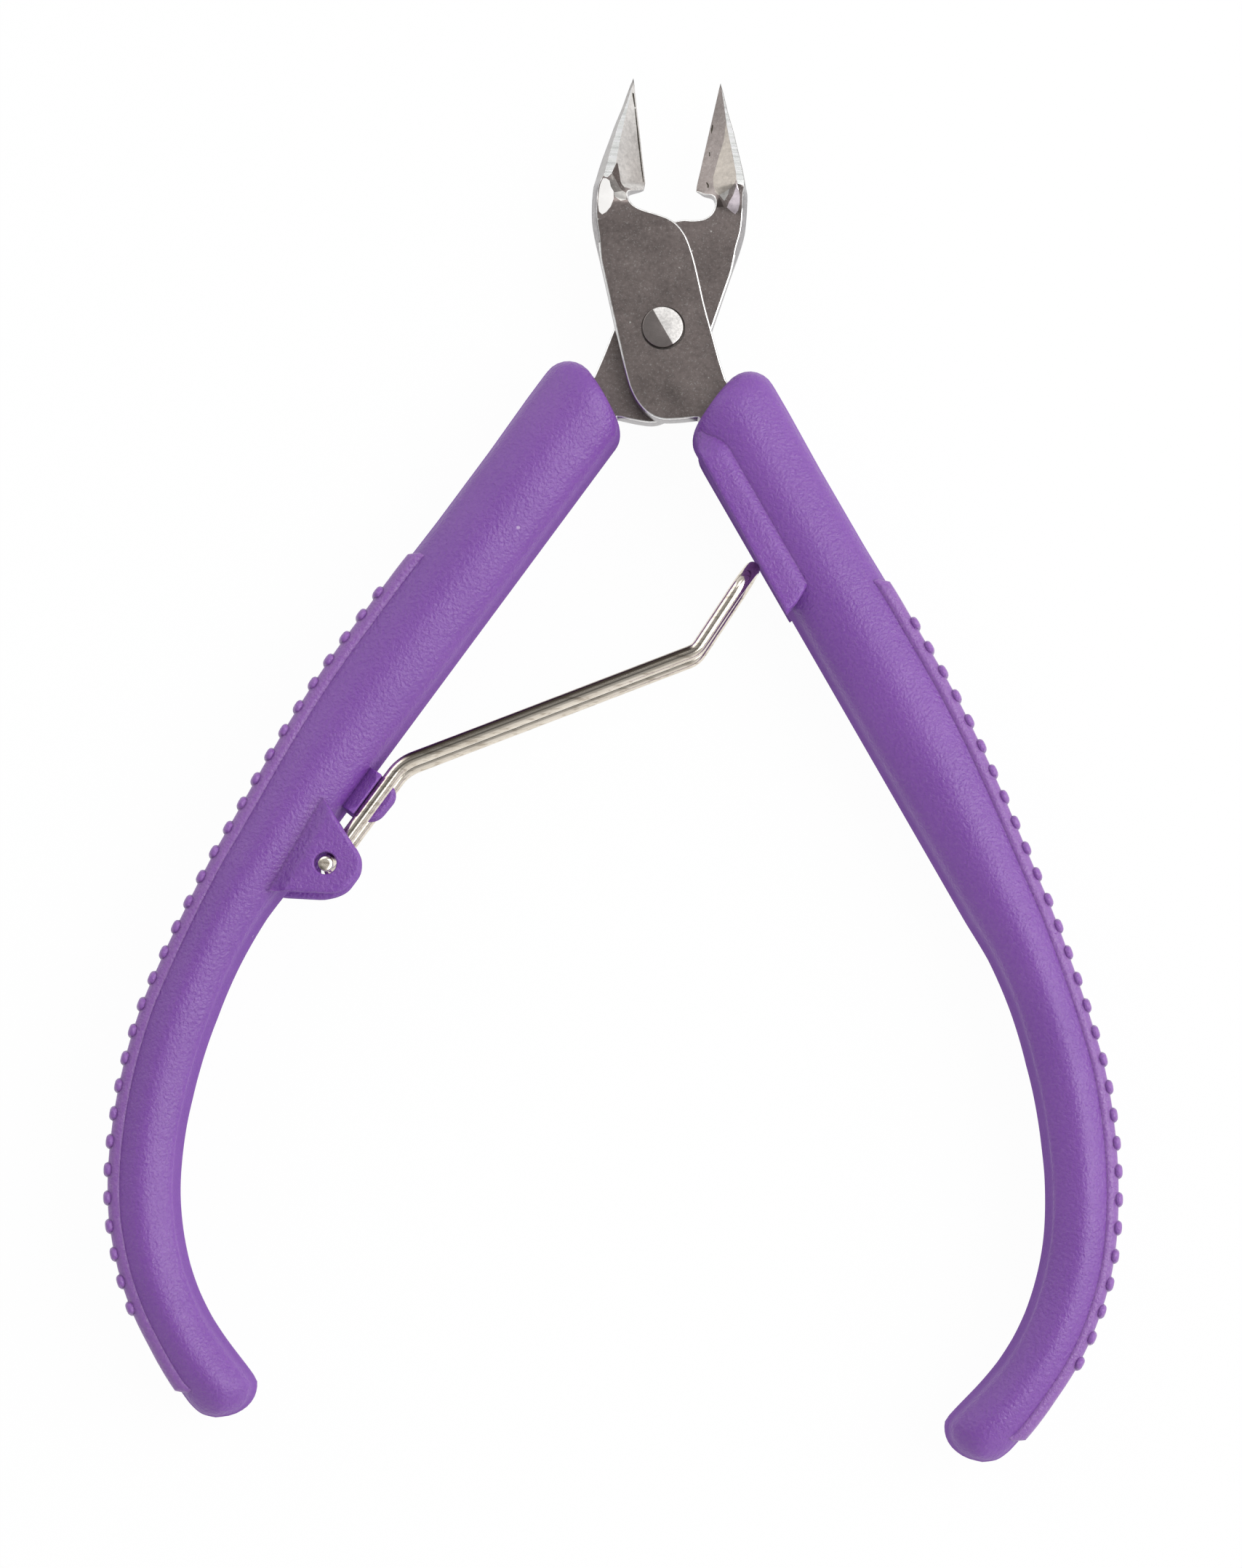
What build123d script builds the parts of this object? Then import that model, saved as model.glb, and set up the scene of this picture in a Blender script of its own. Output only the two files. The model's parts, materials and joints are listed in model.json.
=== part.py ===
from build123d import *
import os
from math import cos, pi, radians, sin

# Flush cutter. The model is drawn about the pivot axis: +Y to the jaw tips, +X to the
# right, +Z to the front, with Z = 0 where the two blade plates meet. The last section
# moves everything so that the origin is the middle of the underside.
# The front half is the front blade (left jaw, right tang) with the right grip. The rear
# half is the rear blade (right jaw, left tang) with the left grip.

# ---- opening -------------------------------------------------------------------------
half_open = 9.5            # degrees each jaw stands from the middle line when sprung open
edge_gap = 0.02            # each cutting edge stays this far from the middle when closed

# ---- blade plates --------------------------------------------------------------------
plate_t = 2.0              # thickness of each plate
plate_gap = 0.03           # running clearance between the plates
shoulder_x = 1.2           # square corner of the plate beside the jaw gap
shoulder_y = 10.6
shoulder_r = 4.0
hip_x = 7.05               # widest point of the plate, under the jaw
hip_y = 10.0
side_x = 6.48              # upper end of the plate's straight outer side
side_y = 8.0
heel_x = 1.95              # square corner of the plate at its lower inner end
heel_y = 8.5
heel_r = 4.0
entry_top = (6.0, -4.5)    # where the plate's two edges run into the grip
entry_low = (4.6, -8.0)

# ---- jaws ----------------------------------------------------------------------------
edge_start = 14.0          # distance from the pivot to the heel of the cutting edge
edge_end = 24.1            # distance from the pivot to the tip
flush_z = -1.5             # plane of the flush side of both jaws
jaw_base_y = 13.2          # section where the jaw leaves the neck
ridge_x = 5.45             # ridge between the inner bevel and the ground strip
ridge_z = 1.4
strip_w = 0.6              # ground strip on top of the jaw, at its base
jaw_out_x = 7.05           # outer side of the jaw at its base
tip_w = 0.16               # width, top width and height of the blunt tip
tip_top_w = 0.06
tip_h = 0.1
neck_y = 11.2              # the neck rises or drops between here and jaw_base_y
neck_lean = 0.45           # how far the neck's outer side leans in at its root
notch_x = 3.9              # inner wall of the relief notch behind the cutting edge
notch_low = 10.6
notch_high = 12.75
notch_r = 0.9

# ---- rivet ---------------------------------------------------------------------------
rivet_d = 3.0              # shank
rivet_fit = 0.03           # radial clearance of the shank in the rear plate
head_d = 3.7               # front head, which shows two facets
head_h = 0.42
facet_drop = 0.14          # how far the facets fall from the ridge to the rim
facet_turn = -55.0         # degrees from +X to the ridge
tail_d = 4.4               # staked rear end
tail_h = 0.55
tail_chamfer = 0.18

# ---- grips ---------------------------------------------------------------------------
grip_t = 10.0              # thickness, front to back
grip_w = 9.1               # width of the upper part
grip_w_low = 6.15          # width of the lower part
taper_start = 27.0         # distances along the inner face where the width changes
taper_end = 62.0
face_angle = 32.9          # degrees between the straight inner face and the middle line
face_x = 4.31              # a point on the straight inner face
face_y = -12.0
face_len = 50.0            # straight length of the inner face from that point
bow_r = 45.0               # inner face, upper bend
tail_r = 26.7              # inner face, lower bend
tail_turn = 39.5           # degrees turned by the lower bend where the end cap starts
nose_top = (8.36, -1.56)   # square corners of the slanted upper end
nose_low = (2.92, -9.86)
nose_top_r = 2.3
nose_low_r = 2.0
grip_round = 1.8           # rounding of the grip's front and back rims
tang_in = 3.0              # depth of the tang's two edges behind the inner face
tang_out = 7.3
tang_out_mid = 6.8
tang_in_end = 2.4
tang_out_end = 5.4
tang_in_top = 8.0          # distances along the inner face of the tang's corners
tang_out_top = 2.0
tang_mid = 30.0
tang_end = 44.0

# ---- tread strip on the outer side of each grip --------------------------------------
tread_start = 17.4         # distances along the inner face
tread_end = 93.2
tread_proud = 0.45
tread_w = 4.2
stud_count = 29
stud_first = 5.1           # from the upper end of the strip, along the strip
stud_pitch = 2.51
stud_r = 0.8
stud_proud = 0.4
stud_w = 3.4

# ---- return spring -------------------------------------------------------------------
wire_d = 1.35
leg_spread = 6.0           # distance between the two legs, front to back
leg_lift = 1.72            # height of the legs over the left grip's inner face
anchor_along = 45.0        # wire ends in the ears, measured along the inner face
elbow_along = 33.7         # bend above the pad
knee = (4.7, -29.5)        # bend before the loop
loop = (9.4, -21.4)        # outermost point of the loop, on its centre line
elbow_r = 4.0
knee_r = 2.0
anchor_r = 1.0
flex_at = 6.0              # the arm's turning point, measured from the elbow
flex_gap = 0.03
wire_inset = 0.3           # the wire's ends stay this far inside the ears' outer faces
loop_flat = 0.04           # straight middle of the loop

# ---- spring anchor on the left grip --------------------------------------------------
ear_t = 1.2
ear_hole_d = 1.85
ear_root_up = 4.5          # the ear's corners, measured along the face from the wire end
ear_top_up = 2.1
ear_top_down = 1.3
ear_root_down = 5.9
ear_top = 2.9              # height of the ear over the wire end
ear_top_r = 2.0
ear_root = 2.1             # how deep the ear is rooted in the grip
pad_start = 35.6           # distances along the inner face
pad_end = 40.1
pad_gap = 0.03             # between pad and wire
pad_side = 0.2             # how far the pad runs past the legs
pad_root = 1.5             # how deep pad and fin are rooted in the grip
fin_w = 3.8                # guide fin between the two legs
fin_h = 3.0
fin_nose_r = 1.4

# ---- spring track on the right grip --------------------------------------------------
track_side_gap = 0.5       # beside the loop
track_floor_gap = 0.25     # under the loop
land_len = 15.8            # raised land beside the track, along the inner face
land_w = 2.6
land_proud = 0.25

track_steps = 12           # places of the loop that shape the track's floor
half_t = grip_t / 2
wire_r = wire_d / 2
leg_z = leg_spread / 2
angle = radians(face_angle)
full_close = 2 * half_open
heel_edge = edge_start * sin(radians(half_open)) + edge_gap
tip_edge = edge_end * sin(radians(half_open)) + edge_gap
tip_y = edge_end * cos(radians(half_open))


# ---- positions -----------------------------------------------------------------------
def turned(point, degrees, centre=(0, 0)):
    """The point turned about a centre in the XY plane."""
    a = radians(degrees)
    x, y = point[0] - centre[0], point[1] - centre[1]
    return centre[0] + x * cos(a) - y * sin(a), centre[1] + x * sin(a) + y * cos(a)


def inner_face(along, offset=0.0):
    """Point of the right grip at a distance along its inner face and inside it."""
    bow_len = bow_r * angle
    if along <= face_len:
        x, y, a = face_x + along * sin(angle), face_y - along * cos(angle), angle
    elif along <= face_len + bow_len:
        a = angle - (along - face_len) / bow_r
        x = face_x + face_len * sin(angle) + bow_r * (cos(a) - cos(angle))
        y = face_y - face_len * cos(angle) - bow_r * (sin(angle) - sin(a))
    else:
        a = -(along - face_len - bow_len) / tail_r
        x = face_x + face_len * sin(angle) + bow_r * (1 - cos(angle)) + tail_r * (cos(a) - 1)
        y = face_y - face_len * cos(angle) - bow_r * sin(angle) + tail_r * sin(a)
    return x + offset * cos(a), y + offset * sin(a)


def grip_width(along):
    """Width of the grip, which narrows smoothly between the two taper stations."""
    share = min(max((along - taper_start) / (taper_end - taper_start), 0.0), 1.0)
    return grip_w + (grip_w_low - grip_w) * (1 - cos(pi * share)) / 2


def face_depth(point):
    """How far a point lies inside the right grip's straight inner face, and along it."""
    dx, dy = point[0] - face_x, point[1] - face_y
    return dx * cos(angle) + dy * sin(angle), dx * sin(angle) - dy * cos(angle)


def left_face(along, lift):
    """Point over the left grip's straight inner face, in the gap between the grips."""
    x, y = inner_face(along, -lift)
    return -x, y


grip_len = face_len + bow_r * angle + tail_r * radians(tail_turn)
anchor = left_face(anchor_along, leg_lift)
elbow = left_face(elbow_along, leg_lift)


def outer_side(start, end, proud=0.0, steps=14):
    """Points along the grip's outer side, from one station to another."""
    stations = [start + (end - start) * i / steps for i in range(steps + 1)]
    return [inner_face(s, grip_width(s) + proud) for s in stations]


def mirrored(shape):
    return mirror(shape, about=Plane.YZ)


# ---- blades --------------------------------------------------------------------------
def plate_outline():
    """Plate and tang of the front blade, below the neck."""
    rim = [
        (-jaw_out_x, neck_y),
        (-hip_x, hip_y),
        (-side_x, side_y),
        (-heel_x, -heel_y),
        entry_low,
        inner_face(tang_in_top, tang_in),
        inner_face(tang_end, tang_in_end),
        inner_face(tang_end, tang_out_end),
        inner_face(tang_mid, tang_out_mid),
        inner_face(tang_out_top, tang_out),
        entry_top,
        (shoulder_x, shoulder_y),
        (-heel_edge, shoulder_y),
        (-heel_edge, neck_y),
    ]
    outline = make_face(Polyline(*rim, close=True))
    corner = {(shoulder_x, shoulder_y): shoulder_r, (-heel_x, -heel_y): heel_r}
    for place, radius in corner.items():
        vertex = outline.vertices().sort_by_distance(Vector(*place))[0]
        outline = fillet(vertex, radius)
    return outline


def section(y, points):
    """A flat section across the blade at one height, from (x, z) corners on the left."""
    return Face(Wire.make_polygon([Vector(-x, y, z) for x, z in points]))


def jaw_and_neck(z_low, z_high):
    """Left jaw and the neck that carries it from the plate to the cutting plane."""
    root = section(neck_y, [
        (heel_edge, z_low), (heel_edge, z_high), (jaw_out_x - neck_lean, z_high), (jaw_out_x, z_low)])
    base = section(jaw_base_y, [
        (heel_edge, flush_z), (ridge_x, ridge_z), (ridge_x + strip_w, ridge_z), (jaw_out_x, flush_z)])
    tip_mid = tip_edge + tip_w / 2
    tip = section(tip_y, [
        (tip_edge, flush_z), (tip_mid - tip_top_w / 2, flush_z + tip_h),
        (tip_mid + tip_top_w / 2, flush_z + tip_h), (tip_edge + tip_w, flush_z)])
    neck = loft([root, base], ruled=True)
    jaw = loft([base, tip], ruled=True)
    return neck + jaw


def notch():
    """Relief notch behind the cutting edge."""
    reach = hip_x
    slot = Pos(-notch_x + reach / 2, (notch_low + notch_high) / 2) * Rectangle(reach, notch_high - notch_low)
    inner = slot.vertices().sort_by(Axis.X)[:2]
    return extrude(fillet(inner, notch_r), amount=grip_t, both=True)


def blade(z_low, z_high, rivet_hole_r):
    """Blade with its jaw on the left and its tang on the right."""
    body = Pos(0, 0, z_low) * extrude(plate_outline(), amount=z_high - z_low)
    body += jaw_and_neck(z_low, z_high)
    body -= notch()
    body -= Cylinder(rivet_hole_r, 2 * grip_t)
    return body


front_low, front_high = plate_gap / 2, plate_gap / 2 + plate_t
front_blade = blade(front_low, front_high, rivet_d / 2)
rear_blade = mirrored(blade(-front_high, -front_low, rivet_d / 2 + rivet_fit))


# ---- rivet ---------------------------------------------------------------------------
def rivet():
    shank = Pos(0, 0, -front_high) * extrude(Circle(rivet_d / 2), amount=2 * front_high)
    tail = Pos(0, 0, -front_high - tail_h) * extrude(Circle(tail_d / 2), amount=tail_h)
    tail = chamfer(tail.faces().sort_by(Axis.Z)[0].edges(), tail_chamfer)
    eave = head_h - 2 * facet_drop
    gable = [(-head_d, eave), (0, head_h), (head_d, eave), (head_d, 0), (-head_d, 0)]
    roof = make_face(Polyline(*gable, close=True))
    roof = Rot(0, 0, facet_turn) * extrude(Plane.YZ * roof, amount=head_d, both=True)
    head = extrude(Circle(head_d / 2), amount=head_h) & roof
    return shank + tail + Pos(0, 0, front_high) * head


pivot_rivet = rivet()


# ---- grips ---------------------------------------------------------------------------
def grip_outline():
    """Outline of the right grip."""
    cap_in = inner_face(grip_len)
    cap_out = inner_face(grip_len, grip_w_low)
    cap_mid = inner_face(grip_len, grip_w_low / 2)
    drop = radians(-tail_turn)
    cap_low = (cap_mid[0] + grip_w_low / 2 * sin(drop), cap_mid[1] - grip_w_low / 2 * cos(drop))
    bow_start, bow_end = inner_face(face_len), inner_face(face_len + bow_r * angle)
    bow_mid = inner_face(face_len + bow_r * angle / 2)
    tail_mid = inner_face((face_len + bow_r * angle + grip_len) / 2)
    side_top = inner_face(0.0, grip_w)
    side_low = outer_side(taper_start, grip_len)
    rim = [
        Line(nose_low, bow_start),
        ThreePointArc(bow_start, bow_mid, bow_end),
        ThreePointArc(bow_end, tail_mid, cap_in),
        ThreePointArc(cap_in, cap_low, cap_out),
        Spline(*reversed(side_low), tangents=(
            (-sin(drop), cos(drop)), (side_top[0] - side_low[0][0], side_top[1] - side_low[0][1]))),
        Line(side_low[0], nose_top),
        Line(nose_top, nose_low),
    ]
    outline = make_face(rim)
    for place, radius in ((nose_top, nose_top_r), (nose_low, nose_low_r)):
        vertex = outline.vertices().sort_by_distance(Vector(*place))[0]
        outline = fillet(vertex, radius)
    return outline


def grip_body():
    body = extrude(grip_outline(), amount=half_t, both=True)
    rims = body.edges().filter_by(lambda e: abs(abs(e.center().Z) - half_t) < 1e-6)
    return fillet(rims, grip_round)


def spring_arm_turn():
    """Degrees the spring's arm turns about its flexing point while the tool closes."""
    start, _ = face_depth(loop)
    low, high = 0.0, 45.0
    for _ in range(40):
        guess = (low + high) / 2
        depth, _ = face_depth(turned(turned(loop, guess, flex_point), full_close))
        if depth > start:
            low = guess
        else:
            high = guess
    return (low + high) / 2


run = Vector(knee[0] - elbow[0], knee[1] - elbow[1]).normalized()
flex_point = (elbow[0] + flex_at * run.X, elbow[1] + flex_at * run.Y)
arm_turn = spring_arm_turn()
arm_ratio = arm_turn / full_close


def track_cut():
    """Space swept by the spring's loop as it slides along the track while the tool closes."""
    reach = wire_r + track_floor_gap
    floor = []
    for i in range(-1, track_steps + 2):
        share = i / track_steps
        place = turned(turned(loop, share * arm_turn, flex_point), share * full_close)
        depth, along = face_depth(place)
        floor.append((along, depth + reach))
    floor = [(along, max(depth, land_proud / 2)) for along, depth in floor]
    path = [inner_face(along, depth) for along, depth in floor]
    lip_far = inner_face(floor[0][0] + reach, -2 * reach)
    lip_near = inner_face(floor[-1][0] - reach, -2 * reach)
    area = make_face([Spline(*path), Polyline(path[-1], lip_near, lip_far, path[0])])
    return extrude(area, amount=leg_z + wire_r + track_side_gap, both=True)


def track_lands():
    """Raised lands along both sides of the track."""
    top = face_depth(nose_low)[1] + nose_low_r
    corners = [inner_face(top, -land_proud), inner_face(land_len, -land_proud),
               inner_face(land_len, land_w), inner_face(top, land_w)]
    area = make_face(Polyline(*corners, close=True))
    height = half_t - (leg_z + wire_r + track_side_gap)
    land = Pos(0, 0, half_t - height) * extrude(area, amount=height)
    return land + mirror(land, about=Plane.XY)


def ear():
    """Front ear of the left grip, which holds one end of the spring wire."""
    crown = leg_lift + ear_top
    corners = [
        left_face(anchor_along - ear_root_up, -ear_root),
        left_face(anchor_along - ear_top_up, crown),
        left_face(anchor_along + ear_top_down, crown),
        left_face(anchor_along + ear_root_down, -ear_root),
    ]
    outline = make_face(Polyline(*corners, close=True))
    top = [outline.vertices().sort_by_distance(Vector(*corner))[0] for corner in corners[1:3]]
    plate = Pos(0, 0, half_t - ear_t) * extrude(fillet(top, ear_top_r), amount=ear_t)
    return plate - Pos(anchor[0], anchor[1], half_t) * Cylinder(ear_hole_d / 2, 4 * ear_t)


def seat_corners(height):
    """Corners of the pad or the fin over the inner face, drawn on the right."""
    return [inner_face(pad_start, pad_root), inner_face(pad_start, -height),
            inner_face(pad_end, -height), inner_face(pad_end, pad_root)]


def spring_seat():
    """Pad under both legs and the guide fin between them, drawn on the right."""
    pad = make_face(Polyline(*seat_corners(leg_lift - wire_r - pad_gap), close=True))
    corners = seat_corners(fin_h)
    fin = make_face(Polyline(*corners, close=True))
    nose = [fin.vertices().sort_by_distance(Vector(*corner))[0] for corner in corners[1:3]]
    fin = extrude(fillet(nose, fin_nose_r), amount=fin_w / 2, both=True)
    return fin + extrude(pad, amount=leg_z + wire_r + pad_side, both=True)


bare_grip = grip_body()
right_grip = bare_grip + track_lands() - track_cut() - front_blade
ears = ear()
left_grip = mirrored(bare_grip + spring_seat()) + ears + mirror(ears, about=Plane.XY) - rear_blade


# ---- tread strips --------------------------------------------------------------------
def tread():
    """Studded strip along the outer side of the right grip."""
    near, far = outer_side(tread_start, tread_end), outer_side(tread_start, tread_end, tread_proud)
    band = make_face([Spline(*near), Line(near[-1], far[-1]), Spline(*reversed(far)), Line(far[0], near[0])])
    strip = extrude(band, amount=tread_w / 2, both=True)
    crown = Spline(*outer_side(tread_start, tread_end, tread_proud + stud_proud - stud_r))
    for i in range(stud_count):
        place = crown @ ((stud_first + i * stud_pitch) / crown.length)
        strip += Pos(place.X, place.Y, 0) * Cylinder(stud_r, stud_w)
    return strip


right_tread = tread() - bare_grip
left_tread = mirrored(right_tread)


# ---- spring --------------------------------------------------------------------------
def flat(point, z):
    return Vector(point[0], point[1], z)


def wire_along(line):
    return sweep(Plane(origin=line @ 0, z_dir=line % 0) * Circle(wire_r), path=line)


def spring_leg(z):
    """One leg from its end in the ear, over the pad, to the flexing point."""
    side = 1 if z > 0 else -1
    stop = (flex_point[0] - (wire_r + flex_gap) * run.X, flex_point[1] - (wire_r + flex_gap) * run.Y)
    route = [flat(anchor, side * (half_t - wire_inset)), flat(anchor, z), flat(elbow, z), flat(stop, z)]
    return wire_along(FilletPolyline(*route, radius=[anchor_r, elbow_r]))


spring_base = Compound(children=[spring_leg(leg_z), spring_leg(-leg_z)])


def spring_loop():
    """Both arms from the flexing point to the knee, and the loop that joins them."""
    bend = leg_z - loop_flat / 2
    route = [flat(flex_point, leg_z), flat(knee, leg_z), flat(loop, leg_z),
             flat(loop, -leg_z), flat(knee, -leg_z), flat(flex_point, -leg_z)]
    loop_wire = wire_along(FilletPolyline(*route, radius=[knee_r, bend, bend, knee_r]))
    for z in (leg_z, -leg_z):
        loop_wire += Pos(*flex_point, z) * Sphere(wire_r)
    return loop_wire


spring_arm = spring_loop()

# ---- place the origin under the middle and write the nodes ---------------------------
nodes = {
    "front_blade": front_blade,
    "rear_blade": rear_blade,
    "pivot_rivet": pivot_rivet,
    "right_grip": right_grip,
    "left_grip": left_grip,
    "right_tread": right_tread,
    "left_tread": left_tread,
    "spring_base": spring_base,
    "spring_arm": spring_arm,
}
whole = Compound(children=[s for n in nodes.values() for s in n.solids()]).bounding_box()
shift = Vector(-whole.center().X, -whole.center().Y, -whole.min.Z)
os.makedirs("parts", exist_ok=True)
for name, shape in nodes.items():
    export_step(Pos(shift) * Compound(children=list(shape.solids())), f"parts/{name}.step")

print("shift", round(shift.X, 4), round(shift.Y, 4), round(shift.Z, 4))
print("pivot", [round(v, 4) for v in (shift.X, shift.Y, shift.Z)])
print("flex point", [round(v, 4) for v in (flex_point[0] + shift.X, flex_point[1] + shift.Y)])
print("full close", full_close, "arm turn", round(arm_turn, 3), "ratio", round(arm_ratio, 5))
print("size", [round(v, 3) for v in (whole.size.X, whole.size.Y, whole.size.Z)])
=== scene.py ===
import bmesh
import bpy
import json
from math import ceil, cos, dist, hypot, pi, radians, sin, sqrt, tan
from mathutils import Matrix, Vector
from mathutils.geometry import delaunay_2d_cdt


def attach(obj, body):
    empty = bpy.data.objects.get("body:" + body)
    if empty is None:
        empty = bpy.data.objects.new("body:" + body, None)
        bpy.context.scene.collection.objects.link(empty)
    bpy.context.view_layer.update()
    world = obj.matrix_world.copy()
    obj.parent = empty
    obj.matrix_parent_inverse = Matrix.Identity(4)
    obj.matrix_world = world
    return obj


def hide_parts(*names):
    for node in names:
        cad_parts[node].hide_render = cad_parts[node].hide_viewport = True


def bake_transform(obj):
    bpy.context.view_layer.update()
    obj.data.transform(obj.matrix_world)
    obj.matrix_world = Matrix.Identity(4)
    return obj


# Flush cutter. Sizes are in millimetres about the pivot axis: +X to the right handle, +Y to
# the jaw tips, +Z out of the front, with Z = 0 where the two blade plates meet.
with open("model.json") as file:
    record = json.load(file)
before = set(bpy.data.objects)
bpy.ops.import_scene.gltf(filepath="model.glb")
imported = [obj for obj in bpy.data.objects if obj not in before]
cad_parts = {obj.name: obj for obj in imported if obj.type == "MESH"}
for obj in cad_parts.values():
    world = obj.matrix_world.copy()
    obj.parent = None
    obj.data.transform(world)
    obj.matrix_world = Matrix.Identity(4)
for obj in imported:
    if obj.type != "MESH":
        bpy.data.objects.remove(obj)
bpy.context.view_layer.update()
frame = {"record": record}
joints = {joint["name"]: joint for joint in frame["record"]["behaviour"]["joints"]}
pivot = Vector(joints["handle_pivot"]["pos_m"])

# ---- sizes ----
# Blades. Each cutting edge leans half_open off the middle line and stops edge_gap short of
# it. The ridge over the jaw starts ridge_top high at jaw_foot and falls toward the tip.
plate_t = 2.0
plate_gap = 0.03
half_open = radians(9.5)
edge_gap = 0.03
edge_t = 0.04
flush_z = -1.5
tip = (-4.02, 23.72)
jaw_foot = 13.8
ridge_top = 1.4
ridge_fall = 0.2775
strip_fall = 0.12
seat_mid = (0.05, -0.06)
seat_r = 2.0
seat_depth = 0.35

# Rivet: its front head has two facets that fall away from a ridge.
head_r = 1.85
head_rise = 0.44
head_fall = 0.27
head_turn = radians(-57)
head_under = 0.3
shank_r = 1.5

# Grips: a straight inner face, then a bow, then a tail that curls the same way.
half_t = 5.0
grip_w = 9.1
grip_w_low = 6.15
taper_start = 27.0
taper_end = 62.0
face_angle = radians(32.9)
face_x = 4.31
face_y = -12.0
face_len = 50.0
bow_r = 45.0
tail_r = 26.7
tail_turn = radians(39.5)
nose_top = (8.36, -1.56)
nose_low = (2.92, -9.86)
nose_top_r = 2.3
nose_low_r = 2.0
nose_rim = 0.9
bow_len = bow_r * face_angle
grip_len = face_len + bow_len + tail_r * tail_turn
face_end = (face_x + face_len * sin(face_angle), face_y - face_len * cos(face_angle))
bow_end = (face_end[0] + bow_r * (1 - cos(face_angle)), face_end[1] - bow_r * sin(face_angle))
ear_low = 3.8
ear_high = 5.1
ear_hole_r = 1.0

# Treads: a plain strip with studs spaced along it.
tread_start = 17.4
tread_end = 93.2
strip_end = tread_end + 0.8
stud_count = 29
stud_first = 5.1
stud_pitch = 2.51
stud_length = 1.45
stud_rise = 0.53
stud_reach = 4.05

# Spring.
wire_r = 0.675
leg_z = 3.0
leg_lift = 1.72
anchor_along = 45.0
elbow_along = 33.7
knee = (4.7, -29.5)
loop = (9.4, -21.4)


# Moulded grips: (distance along, small step from the plain shape).
inner_shift = [
    (0, 0), (48, 0), (52, 0.12), (57, 0.02), (62, -0.13), (67, -0.08), (69.5, -0.04), (72, 0.06),
    (74.5, 0.11), (78, 0.16), (84.5, 0.17), (87, 0.12), (89.5, 0), (92.65, -0.26)]
outer_shift = [
    (0, 0), (6, -0.12), (14, -0.12), (20, 0), (50, 0), (52, -0.1), (54.5, -0.16), (57, -0.16),
    (60, -0.1), (63, 0), (80, 0), (82, -0.08), (84.5, -0.16), (87, -0.3), (89.5, -0.5), (92.65, -0.55)]


# ---- places ----
def put(x, y, z):
    return pivot + Vector((x, y, z)) / 1000


def grip_point(along, depth=0.0):
    """Point of the right grip at a distance along its inner face and inside it."""
    if along <= face_len:
        x, y, a = face_x + along * sin(face_angle), face_y - along * cos(face_angle), face_angle
    elif along <= face_len + bow_len:
        a = face_angle - (along - face_len) / bow_r
        x = face_end[0] + bow_r * (cos(a) - cos(face_angle))
        y = face_end[1] - bow_r * (sin(face_angle) - sin(a))
    else:
        a = -(along - face_len - bow_len) / tail_r
        x, y = bow_end[0] + tail_r * (cos(a) - 1), bow_end[1] + tail_r * sin(a)
    return x + depth * cos(a), y + depth * sin(a)


def grip_width(along):
    share = clamp((along - taper_start) / (taper_end - taper_start))
    return grip_w + (grip_w_low - grip_w) * (1 - cos(pi * share)) / 2


def grip_inner(along):
    """How far the moulded inner side stands inside the plain inner line."""
    return between(along, inner_shift)


def grip_outer(along):
    """Distance from the plain inner line to the moulded outer side."""
    return grip_width(along) + between(along, outer_shift)


def left_point(along, lift):
    """Point of the left grip at a distance along its inner face and out from it."""
    x, y = grip_point(along, -lift)
    return -x, y


def clamp(value):
    return min(max(value, 0.0), 1.0)


def ease(value, start, end):
    """0 at start and before, 1 at end and after, easing between."""
    share = clamp((value - start) / (end - start))
    return share * share * (3 - 2 * share)


def toward(a, b, share):
    """The point that lies a share of the way from a to b."""
    return tuple(p + (q - p) * share for p, q in zip(a, b))


def spread(start, end, count):
    """Evenly spaced values from start to end, both included."""
    return [start + (end - start) * i / count for i in range(count + 1)]


def circle(x, y, radius, count, turn=0.0):
    """Evenly spaced points round a circle, from the one at the angle turn."""
    angles = [turn + 2 * pi * i / count for i in range(count)]
    return [(x + radius * cos(a), y + radius * sin(a)) for a in angles]


def between(value, table):
    """Value read from (place, value) pairs in rising order."""
    if value <= table[0][0]:
        return table[0][1]
    for (a, low), (b, high) in zip(table, table[1:]):
        if value <= b:
            return low + (high - low) * (value - a) / (b - a)
    return table[-1][1]


def curve_through(points, step):
    """Evenly spaced points on a smooth line through the given points."""
    ends = [tuple(2 * a - b for a, b in zip(points[0], points[1]))]
    ends += list(points) + [tuple(2 * a - b for a, b in zip(points[-1], points[-2]))]
    line = []
    for p0, p1, p2, p3 in zip(ends, ends[1:], ends[2:], ends[3:]):
        count = max(1, ceil(hypot(p2[0] - p1[0], p2[1] - p1[1]) / step))
        for i in range(count):
            t = i / count
            line.append(tuple(
                0.5 * (2 * b + (c - a) * t + (2 * a - 5 * b + 4 * c - d) * t * t
                       + (3 * b - a - 3 * c + d) * t ** 3)
                for a, b, c, d in zip(p0, p1, p2, p3)))
    return line + [tuple(points[-1])]


# ---- meshes ----
def placed(name, data):
    """A new object of the scene."""
    made = bpy.data.objects.new(name, data)
    bpy.context.scene.collection.objects.link(made)
    return made


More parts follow.
